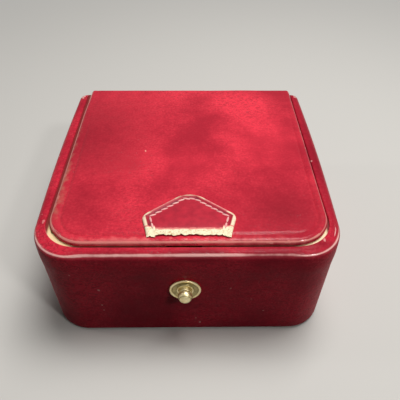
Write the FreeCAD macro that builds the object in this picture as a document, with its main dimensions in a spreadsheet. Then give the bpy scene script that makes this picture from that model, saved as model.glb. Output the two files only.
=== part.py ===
# A square leather jewellery case: boards covered with leather, a lid let in between the rims,
# a leather hinge along the back and a push-button latch in the front.
# Millimetres. +Z is up, -Y is the front, and the origin is the middle of the base on the table.
import FreeCAD
import Part
import math
import os
import Sketcher

SIZES = {
    # Outside of the case
    "case_width": 90.0,
    "case_depth": 86.0,
    "rim_height": 39.4,
    "front_corner": 12.0,
    "back_corner": 3.2,
    "rim_round": 1.3,
    "foot_round": 0.5,
    # Layers of the walls and the floor
    "leather": 0.8,
    "wall": 2.4,
    "kid": 0.3,
    "base_cover_thick": 0.8,
    "base_cover_inset": 1.2,
    "base_thick": 3.0,
    "side_liner": 2.2,
    "rear_liner": 2.2,
    "liner_gap": 0.1,
    # Lid
    "lid_gap": 0.35,
    "lid_side_gap": 0.95,
    "lid_aside": 0.6,
    "lid_proud": 1.4,
    "lid_thick": 0.7,
    "lid_corner": 11.0,
    "lid_round": 0.7,
    "lining_inset": 0.5,
    "seam_gap": 0.2,
    "crease_inset": 2.2,
    "crease_wide": 0.6,
    "crease_deep": 0.25,
    # Leather hinge
    "hinge_reach": 1.2,
    "hinge_crease": 0.4,
    # Pull tab, torn off at its front edge
    "tab_aside": 0.5,
    "tab_setback": 2.1,
    "tab_foot": 23.8,
    "tab_wide": 28.0,
    "tab_side": 7.7,
    "tab_slope": 8.8,
    "tab_point": 3.6,
    "tab_thick": 1.0,
    "tab_round": 1.4,
    "tab_skive": 0.35,
    "stitch_inset": 2.3,
    "stitch_long": 1.6,
    "stitch_pitch": 2.3,
    "stitch_wide": 0.6,
    # Push button and its barrel
    "button_aside": -0.8,
    "button_drop": 15.6,
    "button_wide": 4.0,
    "button_out": 4.7,
    "button_travel": 1.2,
    "button_stop": 0.2,
    "stem_wide": 2.0,
    "stem_gap": 0.05,
    "running_fit": 0.05,
    "press_fit": 0.02,
    "barrel_wall": 0.5,
    "barrel_floor": 0.6,
    "flange_wide": 9.5,
    "flange_out": 0.9,
    "flange_roll": 0.35,
    "flange_web": 0.35,
    "washer_wide": 3.6,
    "washer_thick": 0.5,
    # Strike plate under the lid
    "strike_setback": 1.15,
    "strike_thick": 0.5,
    "strike_wide": 7.0,
    "strike_flange": 4.4,
    "strike_clear": 0.6,
    "window_sill": 1.4,
    "window_wide": 3.2,
    "window_tall": 2.0,
    "strike_pin_spacing": 4.2,
    # Leaf spring with the latch nose, and the well that it moves in
    "spring_gap": 0.35,
    "spring_thick": 0.4,
    "spring_wide": 6.0,
    "spring_room": 2.35,
    "spring_tip": 1.0,
    "spring_foot": 6.0,
    "nose_wide": 2.6,
    "nose_past": 0.1,
    "nose_clear": 0.2,
    "nose_lip": 0.6,
    "foot_pin_spacing": 2.8,
    "well_wide": 10.0,
    "well_web": 0.6,
    "well_floor": 2.7,
    # Small brass pins
    "pin_wide": 0.9,
    "pin_long": 2.2,
    "pin_head_wide": 1.7,
    "pin_head_thick": 0.3,
    # Pads
    "floor_pad_gap": 0.3,
    "floor_pad_side": 3.2,
    "lid_pad_gap": 1.2,
    "lid_pad_side": 1.6,
    "pad_corner": 4.0,
    "pad_draw": 0.7,
    "pad_shoulder": 4.0,
    "pad_shoulder_rise": 1.3,
    "pad_crown": 14.0,
    "pad_crown_rise": 2.1,
}

doc = FreeCAD.newDocument("JewelleryCase")
sheet = doc.addObject("Spreadsheet::Sheet", "Size")
for row, (alias, amount) in enumerate(SIZES.items(), start=1):
    sheet.set(f"A{row}", str(amount))
    sheet.setAlias(f"A{row}", alias)
doc.recompute()

# Places worked out from the driving sizes, as expressions. Half sizes and reaches are positive.
HALF_WIDTH = "(Size.case_width / 2)"
HALF_DEPTH = "(Size.case_depth / 2)"
SHELL = "(Size.leather + Size.wall)"
BASE_TOP = "(Size.base_cover_thick + Size.base_thick)"
WALL_TOP = "(Size.rim_height - Size.leather)"
LID_TOP = "(Size.rim_height + Size.lid_proud)"
TAB_TOP = f"({LID_TOP} + Size.tab_thick)"
LID_BOARD_TOP = f"({LID_TOP} - Size.leather)"
LID_BOARD_UNDER = f"({LID_BOARD_TOP} - Size.lid_thick)"
LID_UNDER = f"({LID_BOARD_UNDER} - Size.kid)"
LEDGE_TOP = f"({LID_UNDER} - Size.seam_gap)"
LINER_TOP = f"({LEDGE_TOP} - Size.kid)"
HINGE_HEIGHT = f"({LID_UNDER} - Size.seam_gap / 2)"
LID_HALF = f"({HALF_WIDTH} - {SHELL} - Size.lid_side_gap)"
LID_REACH = f"({HALF_DEPTH} - {SHELL} - Size.lid_gap)"
INNER_HALF = f"({HALF_WIDTH} - {SHELL})"
INNER_REACH = f"({HALF_DEPTH} - {SHELL})"
INNER_CORNER = f"(Size.front_corner - {SHELL})"

# Places along Y through the latch, from the front face inwards.
FACE = f"(-{HALF_DEPTH})"
WALL_BACK = f"({FACE} + {SHELL})"
FLOOR_FRONT = f"({WALL_BACK} - Size.barrel_floor)"
BLADE_FRONT = f"(-{LID_REACH} + Size.strike_setback)"
BLADE_BACK = f"({BLADE_FRONT} + Size.strike_thick)"
STRIKE_BACK = f"({BLADE_FRONT} + Size.strike_flange)"
SPRING_FRONT = f"({BLADE_BACK} + Size.spring_gap)"
SPRING_BACK = f"({SPRING_FRONT} + Size.spring_thick)"
WELL_BACK = f"({SPRING_BACK} + Size.spring_room)"
LINER_BACK = f"({WELL_BACK} + Size.well_web)"
CAVITY_FRONT = f"({LINER_BACK} + Size.kid)"
CAVITY_BACK = f"({INNER_REACH} - Size.liner_gap - Size.rear_liner - Size.kid)"
CAVITY_HALF = f"({INNER_HALF} - Size.liner_gap - Size.side_liner - Size.kid)"

# Heights through the latch.
BUTTON_Z = "(Size.rim_height - Size.button_drop)"
BLADE_FOOT = f"({BUTTON_Z} + Size.washer_wide / 2 + Size.strike_clear)"
WINDOW_FOOT = f"({BLADE_FOOT} + Size.window_sill)"
NOSE_FOOT = f"({WINDOW_FOOT} + Size.nose_clear)"
NOSE_TOP = f"({WINDOW_FOOT} + Size.window_tall - Size.nose_clear)"
SPRING_TOP = f"({NOSE_TOP} + Size.spring_tip)"
WELL_FOOT = f"({BASE_TOP} + Size.well_floor)"
FOOT_TOP = f"({WELL_FOOT} + Size.spring_foot)"

BARREL_RADIUS = "(Size.button_wide / 2 + Size.running_fit + Size.barrel_wall)"

PAST = 2.0  # how far a cutting shape runs past the face that it cuts
NEAR = 1e-4
FILLET_SHARE = 0.9  # the most of a skin's thickness that its rounding takes


def value(expression):
    """Return an expression's number."""
    return float(sheet.evalExpression(expression))


def place(thing, x, y, z):
    """Bind an object's position to expressions."""
    for axis, expression in zip("xyz", (x, y, z)):
        thing.setExpression(f"Placement.Base.{axis}", expression)


def box(name, x, y, z):
    """Make a box between pairs of expressions, low and high, on each axis."""
    block = doc.addObject("Part::Box", name)
    place(block, x[0], y[0], z[0])
    for side, (low, high) in (("Length", x), ("Width", y), ("Height", z)):
        block.setExpression(side, f"{high} - {low}")
    return block


def rod(name, radius, start, end, x, across, upright=False):
    """Make a round rod from start to end along Y, or along Z if upright, at x and its other place."""
    bar = doc.addObject("Part::Cylinder", name)
    bar.setExpression("Radius", radius)
    bar.setExpression("Height", f"{end} - {start}")
    if upright:
        place(bar, x, across, start)
    else:
        bar.Placement.Rotation = FreeCAD.Rotation(FreeCAD.Vector(1, 0, 0), -90)
        place(bar, x, start, across)
    return bar


def join(name, *things):
    """Fuse solids that are one piece."""
    fused = doc.addObject("Part::MultiFuse", name)
    fused.Shapes = list(things)
    return fused


def cut(name, base, *tools):
    """Take tools away from a solid, one after the other."""
    for number, tool in enumerate(tools, start=1):
        last = number == len(tools)
        result = doc.addObject("Part::Cut", name if last else f"{name}_cut_{number}")
        result.Base = base
        result.Tool = tool
        base = result
    return base


def shared(name, base, tool):
    """Keep what two solids have in common."""
    common = doc.addObject("Part::Common", name)
    common.Base = base
    common.Tool = tool
    return common


def group(name, things):
    """Keep like solids together as one node, each still a solid of its own."""
    set_of = doc.addObject("Part::Compound", name)
    set_of.Links = things
    return set_of


def new_body(name):
    """Start a body of features."""
    return doc.addObject("PartDesign::Body", name)


def new_sketch(body, name, height):
    """Start a level sketch at a height."""
    sketch = body.newObject("Sketcher::SketchObject", name)
    plane = [item for item in body.Origin.OriginFeatures if item.Role == "XY_Plane"][0]
    sketch.AttachmentSupport = (plane, [""])
    sketch.MapMode = "FlatFace"
    sketch.setExpression("AttachmentOffset.Base.z", height)
    return sketch


def fix(sketch, expression, kind, *where):
    """Add a dimension to a sketch and bind it to an expression."""
    index = sketch.addConstraint(Sketcher.Constraint(kind, *where, value(expression)))
    label = f"{kind.lower()}_{index}"
    sketch.renameConstraint(index, label)
    sketch.setExpression(f"Constraints.{label}", expression)


def add_polygon(sketch, points):
    """Add a closed polygon whose corners are pairs of expressions."""
    first = sketch.GeometryCount
    spots = [FreeCAD.Vector(value(x), value(y), 0) for x, y in points]
    count = len(spots)
    for i in range(count):
        sketch.addGeometry(Part.LineSegment(spots[i], spots[(i + 1) % count]))
    for i in range(count):
        sketch.addConstraint(Sketcher.Constraint("Coincident", first + i, 2, first + (i + 1) % count, 1))
    for i, (x, y) in enumerate(points):
        fix(sketch, x, "DistanceX", -1, 1, first + i, 1)
        fix(sketch, y, "DistanceY", -1, 1, first + i, 1)


def add_outline(sketch, half, reach, back, front_radius=None, back_radius=None, aside="0"):
    """Add a closed outline from -reach to back, a half to each side of aside, with round or square corners."""
    start, end = f"({aside} - {half})", f"({aside} + {half})"
    x0, x1, f, b = (value(item) for item in (start, end, reach, back))
    rf = value(front_radius) if front_radius else 0.0
    rb = value(back_radius) if back_radius else 0.0
    vec = FreeCAD.Vector
    sides = (
        (vec(x0 + rf, -f, 0), vec(x1 - rf, -f, 0)),
        (vec(x1, rf - f, 0), vec(x1, b - rb, 0)),
        (vec(x1 - rb, b, 0), vec(x0 + rb, b, 0)),
        (vec(x0, b - rb, 0), vec(x0, rf - f, 0)),
    )
    corners = (
        (vec(x1 - rf, rf - f, 0), front_radius, -90),
        (vec(x1 - rb, b - rb, 0), back_radius, 0),
        (vec(x0 + rb, b - rb, 0), back_radius, 90),
        (vec(x0 + rf, rf - f, 0), front_radius, 180),
    )
    lines = []
    arcs = []
    loop = []
    for (first, last), (centre, radius, angle) in zip(sides, corners):
        lines.append(sketch.addGeometry(Part.LineSegment(first, last)))
        loop.append(lines[-1])
        if radius:
            circle = Part.Circle(centre, vec(0, 0, 1), value(radius))
            turn = Part.ArcOfCircle(circle, math.radians(angle), math.radians(angle + 90))
            arcs.append((sketch.addGeometry(turn), radius))
            loop.append(arcs[-1][0])
    round_ones = [index for index, radius in arcs]
    for here, after in zip(loop, loop[1:] + loop[:1]):
        kind = "Tangent" if here in round_ones or after in round_ones else "Coincident"
        sketch.addConstraint(Sketcher.Constraint(kind, here, 2, after, 1))
    for index, way in zip(lines, ("Horizontal", "Vertical", "Horizontal", "Vertical")):
        sketch.addConstraint(Sketcher.Constraint(way, index))
    for index, kind, expression in zip(
        lines,
        ("DistanceY", "DistanceX", "DistanceY", "DistanceX"),
        (f"-{reach}", end, back, start),
    ):
        fix(sketch, expression, kind, -1, 1, index, 1)
    for index, radius in arcs:
        fix(sketch, radius, "Radius", index)


def pad(body, sketch, length):
    """Raise a sketch upwards."""
    feature = body.newObject("PartDesign::Pad", f"{sketch.Name}_pad")
    feature.Profile = sketch
    feature.setExpression("Length", length)
    return feature


def pocket(body, sketch, length=None, upwards=False):
    """Cut a sketch into the body, down or up, to a depth or right through, and see that it cuts."""
    doc.recompute()
    before = body.Shape.Volume
    feature = body.newObject("PartDesign::Pocket", f"{sketch.Name}_pocket")
    feature.Profile = sketch
    feature.Reversed = upwards
    if length:
        feature.setExpression("Length", length)
    else:
        feature.Type = "ThroughAll"
    doc.recompute()
    if body.Shape.Volume > before - NEAR:
        raise RuntimeError(f"{feature.Name} cuts nothing")
    return feature


def dress(body, kind, name, size, chosen):
    """Round or bevel those edges of the body that the chosen test picks out."""
    doc.recompute()
    last = body.Tip
    names = [f"Edge{i}" for i, edge in enumerate(last.Shape.Edges, start=1) if chosen(edge)]
    feature = body.newObject(f"PartDesign::{kind}", name)
    feature.Base = (last, names)
    feature.setExpression("Radius" if kind == "Fillet" else "Size", size)
    return feature


def edge_middle(edge):
    """Return the point half way along an edge."""
    return edge.valueAt((edge.FirstParameter + edge.LastParameter) / 2)


def depth_inside(point, half, reach, back, front_radius, back_radius, aside):
    """Return how far a point lies inside an outline, in plan."""
    centre = (back - reach) / 2
    radius = front_radius if point.y < centre else back_radius
    across = abs(point.x - aside) - (half - radius)
    along = abs(point.y - centre) - ((back + reach) / 2 - radius)
    corner = math.hypot(max(across, 0.0), max(along, 0.0))
    return radius - corner - min(max(across, along), 0.0)


def on_outline(height, *outline):
    """Return a test for the edges that lie at a height on an outline."""
    numbers = [value(item) if item else 0.0 for item in outline]
    level = value(height)

    def test(edge):
        middle = edge_middle(edge)
        flat = edge.BoundBox.ZLength < NEAR and abs(middle.z - level) < NEAR
        return flat and abs(depth_inside(middle, *numbers)) < NEAR

    return test


OUTSIDE = (HALF_WIDTH, HALF_DEPTH, HALF_DEPTH, "Size.front_corner", "Size.back_corner", "0")
CARCASS = (
    f"({HALF_WIDTH} - Size.leather)",
    f"({HALF_DEPTH} - Size.leather)",
    f"({HALF_DEPTH} - Size.leather)",
    "(Size.front_corner - Size.leather)",
    "(Size.back_corner - Size.leather)",
)
LID = (LID_HALF, LID_REACH, HALF_DEPTH, "Size.lid_corner", None, "Size.lid_aside")


def smaller(outline, inset, back=None):
    """Return an outline with its front and sides moved in, and its back at a given place."""
    half, reach, old_back, front_radius, back_radius, aside = outline
    return (
        f"({half} - {inset})",
        f"({reach} - {inset})",
        back or f"({old_back} - {inset})",
        f"({front_radius} - {inset})",
        f"({back_radius} - {inset})" if back_radius else None,
        aside,
    )


def make_base():
    """Make the leather under the base and the base board that the walls stand round."""
    body = new_body("base_cover")
    sketch = new_sketch(body, "base_cover_outline", "0")
    add_outline(sketch, *smaller(OUTSIDE, "Size.base_cover_inset"))
    pad(body, sketch, "Size.base_cover_thick")

    body = new_body("base_board")
    sketch = new_sketch(body, "base_board_outline", "Size.base_cover_thick")
    add_outline(sketch, INNER_HALF, INNER_REACH, INNER_REACH, INNER_CORNER)
    pad(body, sketch, "Size.base_thick")


def button_hole(name):
    """Make the round hole for the barrel through the front wall."""
    radius = f"({BARREL_RADIUS} + Size.press_fit)"
    return rod(name, radius, f"({FACE} - {PAST})", f"({WALL_BACK} + {PAST})", "Size.button_aside", BUTTON_Z)


def make_carcass():
    """Make the wooden walls and the two rounded front posts out of one ring."""
    ring = new_body("carcass_ring")
    sketch = new_sketch(ring, "carcass_ring_outline", "Size.base_cover_thick")
    add_outline(sketch, *CARCASS)
    add_outline(sketch, INNER_HALF, INNER_REACH, INNER_REACH, INNER_CORNER)
    pad(ring, sketch, f"{WALL_TOP} - Size.base_cover_thick")

    straight = f"({HALF_WIDTH} - Size.front_corner)"
    bend = f"(Size.front_corner - {HALF_DEPTH})"
    tall = ("0", f"({WALL_TOP} + {PAST})")
    span = box("front_wall_span", (f"-{straight}", straight), (FACE, bend), tall)
    front = shared("front_wall_plain", ring, span)
    cut("front_wall", front, button_hole("front_wall_hole"))
    for side, sign in (("left", -1), ("right", 1)):
        outer = sorted((f"({sign} * {HALF_WIDTH})", f"({sign} * {straight})"), key=value)
        span = box(f"{side}_post_span", outer, (FACE, bend), tall)
        shared(f"{side}_corner_post", ring, span)
        outer = sorted((f"({sign} * {HALF_WIDTH})", f"({sign} * {INNER_HALF})"), key=value)
        span = box(f"{side}_wall_span", outer, (bend, HALF_DEPTH), tall)
        shared(f"{side}_wall", ring, span)
    span = box("back_wall_span", (f"-{INNER_HALF}", INNER_HALF), (INNER_REACH, HALF_DEPTH), ("0", LINER_TOP))
    shared("back_wall", ring, span)


def make_body_leather():
    """Make the skin of the front and sides, rolled over the top of the walls."""
    body = new_body("body_leather_skin")
    foot = "Size.base_cover_thick"
    sketch = new_sketch(body, "skin_outline", foot)
    add_outline(sketch, *OUTSIDE)
    add_outline(sketch, *CARCASS)
    pad(body, sketch, f"Size.rim_height - {foot}")
    sketch = new_sketch(body, "rim_cap_outline", WALL_TOP)
    add_outline(sketch, *CARCASS)
    pad(body, sketch, "Size.leather")
    sketch = new_sketch(body, "lid_opening", f"Size.rim_height + {PAST}")
    opening = smaller(OUTSIDE, SHELL, f"({HALF_DEPTH} + {PAST})")
    add_outline(sketch, *opening[:4])
    pocket(body, sketch)
    dress(body, "Fillet", "rim_rounding", "Size.rim_round", on_outline("Size.rim_height", *OUTSIDE))
    dress(body, "Fillet", "foot_rounding", "Size.foot_round", on_outline(foot, *OUTSIDE))
    cut("body_leather", body, button_hole("body_leather_hole"))


def make_back():
    """Make the skin of the back and, above it, the creased strip that the lid turns on."""
    inner = f"({HALF_WIDTH} - {SHELL})"
    depth = (f"({HALF_DEPTH} - Size.leather)", HALF_DEPTH)
    low = f"({HINGE_HEIGHT} - Size.hinge_reach)"
    box("back_leather", (f"-{inner}", inner), depth, ("Size.base_cover_thick", low))
    sides = (f"(Size.lid_aside - {LID_HALF})", f"(Size.lid_aside + {LID_HALF})")
    strip = box("hinge_strip", sides, depth, (low, LID_BOARD_TOP))
    crease = doc.addObject("Part::Cylinder", "hinge_crease_line")
    crease.setExpression("Radius", "Size.hinge_crease")
    crease.setExpression("Height", f"2 * {HALF_WIDTH}")
    crease.Placement.Rotation = FreeCAD.Rotation(FreeCAD.Vector(0, 1, 0), 90)
    place(crease, f"-{HALF_WIDTH}", HALF_DEPTH, HINGE_HEIGHT)
    cut("hinge_leather", strip, crease)


def latch_span(wide):
    """Return the two sides of something that is centred on the button."""
    return (f"(Size.button_aside - {wide} / 2)", f"(Size.button_aside + {wide} / 2)")


def pin(name, x, across, seat, end, upright):
    """Make a headed pin that runs inwards from its seat to its end, along Y or up."""
    shank = rod(f"{name}_shank", "Size.pin_wide / 2", seat, end, x, across, upright)
    under = f"({seat} - Size.pin_head_thick)"
    head = rod(f"{name}_head", "Size.pin_head_wide / 2", under, seat, x, across, upright)
    return join(name, head, shank)


def pin_hole(name, x, across, seat, end, upright):
    """Make the hole that a pin's shank is pressed into."""
    radius = "(Size.pin_wide / 2 + Size.press_fit)"
    return rod(name, radius, f"({seat} - Size.press_fit)", f"({end} + Size.press_fit)", x, across, upright)


FOOT_PINS = [
    f"({WELL_FOOT} + Size.spring_foot / 2 + {sign} * Size.foot_pin_spacing / 2)" for sign in (-1, 1)
]
FOOT_PIN_END = f"({SPRING_FRONT} + Size.pin_long)"


def make_liners():
    """Make the inner frame whose top carries the lid, with the well for the latch in its front."""
    fit = "Size.liner_gap"
    ring = new_body("liner_ring")
    sketch = new_sketch(ring, "liner_ring_outline", BASE_TOP)
    outer = (f"({INNER_HALF} - {fit})", f"({INNER_REACH} - {fit})")
    add_outline(sketch, *outer, outer[1], f"({INNER_CORNER} - {fit})")
    hollow_half = f"({CAVITY_HALF} + Size.kid)"
    hollow_back = f"({CAVITY_BACK} + Size.kid)"
    add_outline(sketch, hollow_half, f"(-{LINER_BACK})", hollow_back)
    pad(ring, sketch, f"{LINER_TOP} - {BASE_TOP}")

    tall = ("0", f"({LINER_TOP} + {PAST})")
    whole = (f"-{HALF_WIDTH}", HALF_WIDTH)
    between = (LINER_BACK, hollow_back)
    shared("left_liner", ring, box("left_liner_span", (whole[0], f"-{hollow_half}"), between, tall))
    shared("right_liner", ring, box("right_liner_span", (hollow_half, whole[1]), between, tall))
    shared("back_liner", ring, box("back_liner_span", whole, (hollow_back, HALF_DEPTH), tall))

    front = shared("front_liner_plain", ring, box("front_liner_span", whole, (FACE, LINER_BACK), tall))
    sides = latch_span("Size.well_wide")
    tools = [
        box("latch_well", sides, (FACE, WELL_BACK), (FOOT_TOP, tall[1])),
        box("spring_seat", sides, (FACE, SPRING_BACK), (WELL_FOOT, f"({FOOT_TOP} + {PAST})")),
    ]
    for number, height in enumerate(FOOT_PINS, start=1):
        hole = f"liner_pin_hole_{number}"
        tools.append(pin_hole(hole, "Size.button_aside", height, SPRING_FRONT, FOOT_PIN_END, False))
    cut("front_liner", front, *tools)


def make_ledge_leather():
    """Make the cream skin over the ledge and down the inside of the frame."""
    body = new_body("ledge_skin")
    cavity = (CAVITY_HALF, f"(-{CAVITY_FRONT})", CAVITY_BACK)
    sketch = new_sketch(body, "ledge_outline", LINER_TOP)
    add_outline(sketch, INNER_HALF, INNER_REACH, f"({HALF_DEPTH} - Size.leather)", INNER_CORNER)
    add_outline(sketch, *cavity)
    pad(body, sketch, "Size.kid")
    sketch = new_sketch(body, "inside_outline", BASE_TOP)
    add_outline(sketch, f"({CAVITY_HALF} + Size.kid)", f"(-{LINER_BACK})", f"({CAVITY_BACK} + Size.kid)")
    add_outline(sketch, *cavity)
    pad(body, sketch, f"{LEDGE_TOP} - {BASE_TOP}")
    slot = box("strike_slot", latch_span("Size.well_wide"), (FACE, WELL_BACK), (WELL_FOOT, HINGE_HEIGHT))
    cut("ledge_leather", body, slot)


def make_pad(name, side, base, sign, half, front, back):
    """Make a cushion on a base plane, crowned upwards or downwards, with its foot drawn in."""
    body = new_body(name)
    steps = (
        ("0", "Size.pad_draw"),
        (side, "0"),
        (f"({side} + Size.pad_shoulder_rise)", "Size.pad_shoulder"),
        (f"({side} + Size.pad_crown_rise)", "Size.pad_crown"),
    )
    sections = []
    for number, (rise, inset) in enumerate(steps):
        sketch = new_sketch(body, f"{name}_section_{number}", f"{base} + {sign} * {rise}")
        outline = (f"({half} - {inset})", f"(-{front} - {inset})", f"({back} - {inset})")
        add_outline(sketch, *outline, "Size.pad_corner", "Size.pad_corner")
        sections.append(sketch)
    loft = body.newObject("PartDesign::AdditiveLoft", f"{name}_loft")
    loft.Profile = sections[0]
    loft.Sections = sections[1:]


def make_pads():
    """Make the padding of the floor and of the lid."""
    gap = "Size.floor_pad_gap"
    make_pad(
        "floor_pad", "Size.floor_pad_side", BASE_TOP, 1,
        f"({CAVITY_HALF} - {gap})", f"({CAVITY_FRONT} + {gap})", f"({CAVITY_BACK} - {gap})",
    )
    gap = "Size.lid_pad_gap"
    front = f"max({CAVITY_FRONT}; {STRIKE_BACK})"
    make_pad(
        "lid_pad", "Size.lid_pad_side", LID_UNDER, -1,
        f"({CAVITY_HALF} - {gap})", f"({front} + {gap})", f"({CAVITY_BACK} - {gap})",
    )


STRIKE_PINS = [f"(Size.button_aside + {sign} * Size.strike_pin_spacing / 2)" for sign in (-1, 1)]
STRIKE_PIN_Y = f"(({BLADE_BACK} + {STRIKE_BACK}) / 2)"


def strike_room(name):
    """Make the recess for the strike's flange, with the press fit all round."""
    fit = "Size.press_fit"
    sides = latch_span(f"(Size.strike_wide + 2 * {fit})")
    depth = (f"({BLADE_FRONT} - {fit})", f"({STRIKE_BACK} + {fit})")
    return box(name, sides, depth, (f"({LID_UNDER} - {PAST})", f"({LID_UNDER} + Size.strike_thick + {fit})"))


def make_lid():
    """Make the lid's board, its leather with the tooled line, and its cream underside."""
    board = new_body("lid_board_plain")
    sketch = new_sketch(board, "lid_board_outline", LID_BOARD_UNDER)
    add_outline(sketch, *smaller(LID, "Size.leather"))
    pad(board, sketch, "Size.lid_thick")
    holes = [
        pin_hole(f"lid_pin_hole_{number}", x, STRIKE_PIN_Y, LID_UNDER, LID_BOARD_TOP, True)
        for number, x in enumerate(STRIKE_PINS, start=1)
    ]
    cut("lid_board", board, strike_room("board_recess"), *holes)

    lining = new_body("lid_lining_plain")
    sketch = new_sketch(lining, "lid_lining_outline", LID_UNDER)
    add_outline(sketch, *smaller(LID, "Size.lining_inset", f"({HALF_DEPTH} - Size.leather)"))
    pad(lining, sketch, "Size.kid")
    cut("lid_lining", lining, strike_room("lining_window"))

    skin = new_body("lid_leather")
    sketch = new_sketch(skin, "lid_outline", LID_BOARD_UNDER)
    add_outline(sketch, *LID)
    pad(skin, sketch, f"{LID_TOP} - {LID_BOARD_UNDER}")
    sketch = new_sketch(skin, "lid_hollow", LID_BOARD_UNDER)
    add_outline(sketch, *smaller(LID, "Size.leather"))
    pocket(skin, sketch, "Size.lid_thick", upwards=True)
    sketch = new_sketch(skin, "hinge_room", LID_BOARD_UNDER)
    ahead = f"({HALF_DEPTH} - Size.leather - Size.seam_gap)"
    behind = f"({HALF_DEPTH} + {PAST})"
    left, right = f"(-{HALF_WIDTH})", HALF_WIDTH
    add_polygon(sketch, ((left, ahead), (right, ahead), (right, behind), (left, behind)))
    pocket(skin, sketch, "Size.lid_thick", upwards=True)
    rounding = f"min(Size.lid_round; {FILLET_SHARE} * Size.leather)"
    dress(skin, "Fillet", "lid_rounding", rounding, on_outline(LID_TOP, *LID))
    sketch = new_sketch(skin, "crease_outline", LID_TOP)
    add_outline(sketch, *smaller(LID, "Size.crease_inset", f"({HALF_DEPTH} + 2 * {PAST})"))
    inner = "(Size.crease_inset + Size.crease_wide)"
    add_outline(sketch, *smaller(LID, inner, f"({HALF_DEPTH} + {PAST})"))
    pocket(skin, sketch, "Size.crease_deep")


def tab_corners():
    """Return the tab's corners from the torn left foot round by the point to the right foot."""
    middle = "Size.tab_aside"
    foot = f"(-{LID_REACH} + Size.tab_setback)"
    shoulder = f"({foot} + Size.tab_side)"
    point = f"({shoulder} + Size.tab_slope)"
    right = (("Size.tab_point", point), ("Size.tab_wide", shoulder), ("Size.tab_foot", foot))
    left = [(f"({middle} - {wide} / 2)", y) for wide, y in reversed(right)]
    return left + [(f"({middle} + {wide} / 2)", y) for wide, y in right]


def make_tab():
    """Make the tab on the lid, torn along its foot and skived round its top."""
    body = new_body("pull_tab")
    sketch = new_sketch(body, "tab_outline", LID_TOP)
    add_polygon(sketch, tab_corners())
    pad(body, sketch, "Size.tab_thick")
    torn = value(tab_corners()[0][1])
    dress(
        body, "Fillet", "tab_rounding", "Size.tab_round",
        lambda edge: edge.BoundBox.ZLength > NEAR and edge_middle(edge).y > torn + NEAR,
    )
    top = value(TAB_TOP)
    dress(
        body, "Chamfer", "tab_skiving", "Size.tab_skive",
        lambda edge: edge.BoundBox.ZLength < NEAR and abs(edge_middle(edge).z - top) < NEAR,
    )


def make_stitches():
    """Lay the thread on the tab: half-round stitches a little way in from its cut edges."""
    corners = [FreeCAD.Vector(value(x), value(y), value(TAB_TOP)) for x, y in tab_corners()]
    outline = Part.Face(Part.makePolygon(corners + corners[:1]))
    seam = outline.makeOffset2D(-value("Size.stitch_inset"))
    foot = seam.BoundBox.YMin
    up = FreeCAD.Vector(0, 0, 1)
    stitches = []
    for edge in seam.Edges:
        if edge.BoundBox.YMax < foot + NEAR:
            continue
        start, end = (vertex.Point for vertex in edge.Vertexes)
        along = (end - start).normalize()
        count = max(1, int(edge.Length / value("Size.stitch_pitch")))
        for number in range(count):
            middle = start + along * (edge.Length * (number + 0.5) / count)
            thread = doc.addObject("Part::Cylinder", f"stitch_{len(stitches) + 1}")
            thread.setExpression("Radius", "Size.stitch_wide / 2")
            thread.setExpression("Height", "Size.stitch_long")
            thread.Angle = 180
            turn = FreeCAD.Rotation(up.cross(along), up, along, "ZYX")
            thread.Placement = FreeCAD.Placement(middle - along * value("Size.stitch_long / 2"), turn)
            stitches.append(thread)
    group("tab_stitches", stitches)


def make_button():
    """Make the dished barrel, the button that slides in it and the washer that keeps the button in."""
    x = "Size.button_aside"
    bore = "(Size.button_wide / 2 + Size.running_fit)"
    rim = "(Size.flange_wide / 2 - Size.flange_roll)"
    lip = f"({FACE} - Size.flange_out)"
    disc = rod("flange_disc", rim, lip, FACE, x, BUTTON_Z)
    dish = doc.addObject("Part::Cone", "flange_dish")
    dish.Placement.Rotation = FreeCAD.Rotation(FreeCAD.Vector(1, 0, 0), -90)
    dish.setExpression("Radius1", f"{rim} - Size.flange_roll")
    dish.setExpression("Radius2", BARREL_RADIUS)
    dish.setExpression("Height", "Size.flange_out - Size.flange_web")
    place(dish, x, lip, BUTTON_Z)
    roll = doc.addObject("Part::Torus", "flange_rim")
    roll.Placement.Rotation = FreeCAD.Rotation(FreeCAD.Vector(1, 0, 0), -90)
    roll.setExpression("Radius1", rim)
    roll.setExpression("Radius2", "Size.flange_roll")
    place(roll, x, f"({lip} + Size.flange_roll)", BUTTON_Z)
    tube = rod("barrel_tube", BARREL_RADIUS, lip, WALL_BACK, x, BUTTON_Z)
    whole = join("barrel_plain", cut("flange_plate", disc, dish), roll, tube)
    hollow = rod("barrel_bore", bore, f"({lip} - {PAST})", FLOOR_FRONT, x, BUTTON_Z)
    eye_radius = "(Size.stem_wide / 2 + Size.running_fit)"
    eye = rod("barrel_eye", eye_radius, f"({FLOOR_FRONT} - {PAST})", f"({WALL_BACK} + {PAST})", x, BUTTON_Z)
    cut("button_barrel", whole, hollow, eye)

    centre = f"({FACE} - Size.button_out + Size.button_wide / 2)"
    shoulder = f"({FLOOR_FRONT} - Size.button_travel - Size.button_stop)"
    dome = doc.addObject("Part::Sphere", "button_dome")
    dome.setExpression("Radius", "Size.button_wide / 2")
    place(dome, x, centre, BUTTON_Z)
    head = rod("button_head", "Size.button_wide / 2", centre, shoulder, x, BUTTON_Z)
    stem_end = f"({SPRING_FRONT} - Size.stem_gap)"
    stem = rod("button_stem", "Size.stem_wide / 2", shoulder, stem_end, x, BUTTON_Z)
    join("push_button", dome, head, stem)

    start = f"({WALL_BACK} + Size.running_fit)"
    end = f"({start} + Size.washer_thick)"
    disc = rod("washer_disc", "Size.washer_wide / 2", start, end, x, BUTTON_Z)
    hole = rod("washer_hole", "Size.stem_wide / 2", f"({start} - {PAST})", f"({end} + {PAST})", x, BUTTON_Z)
    cut("button_washer", disc, hole)


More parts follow.
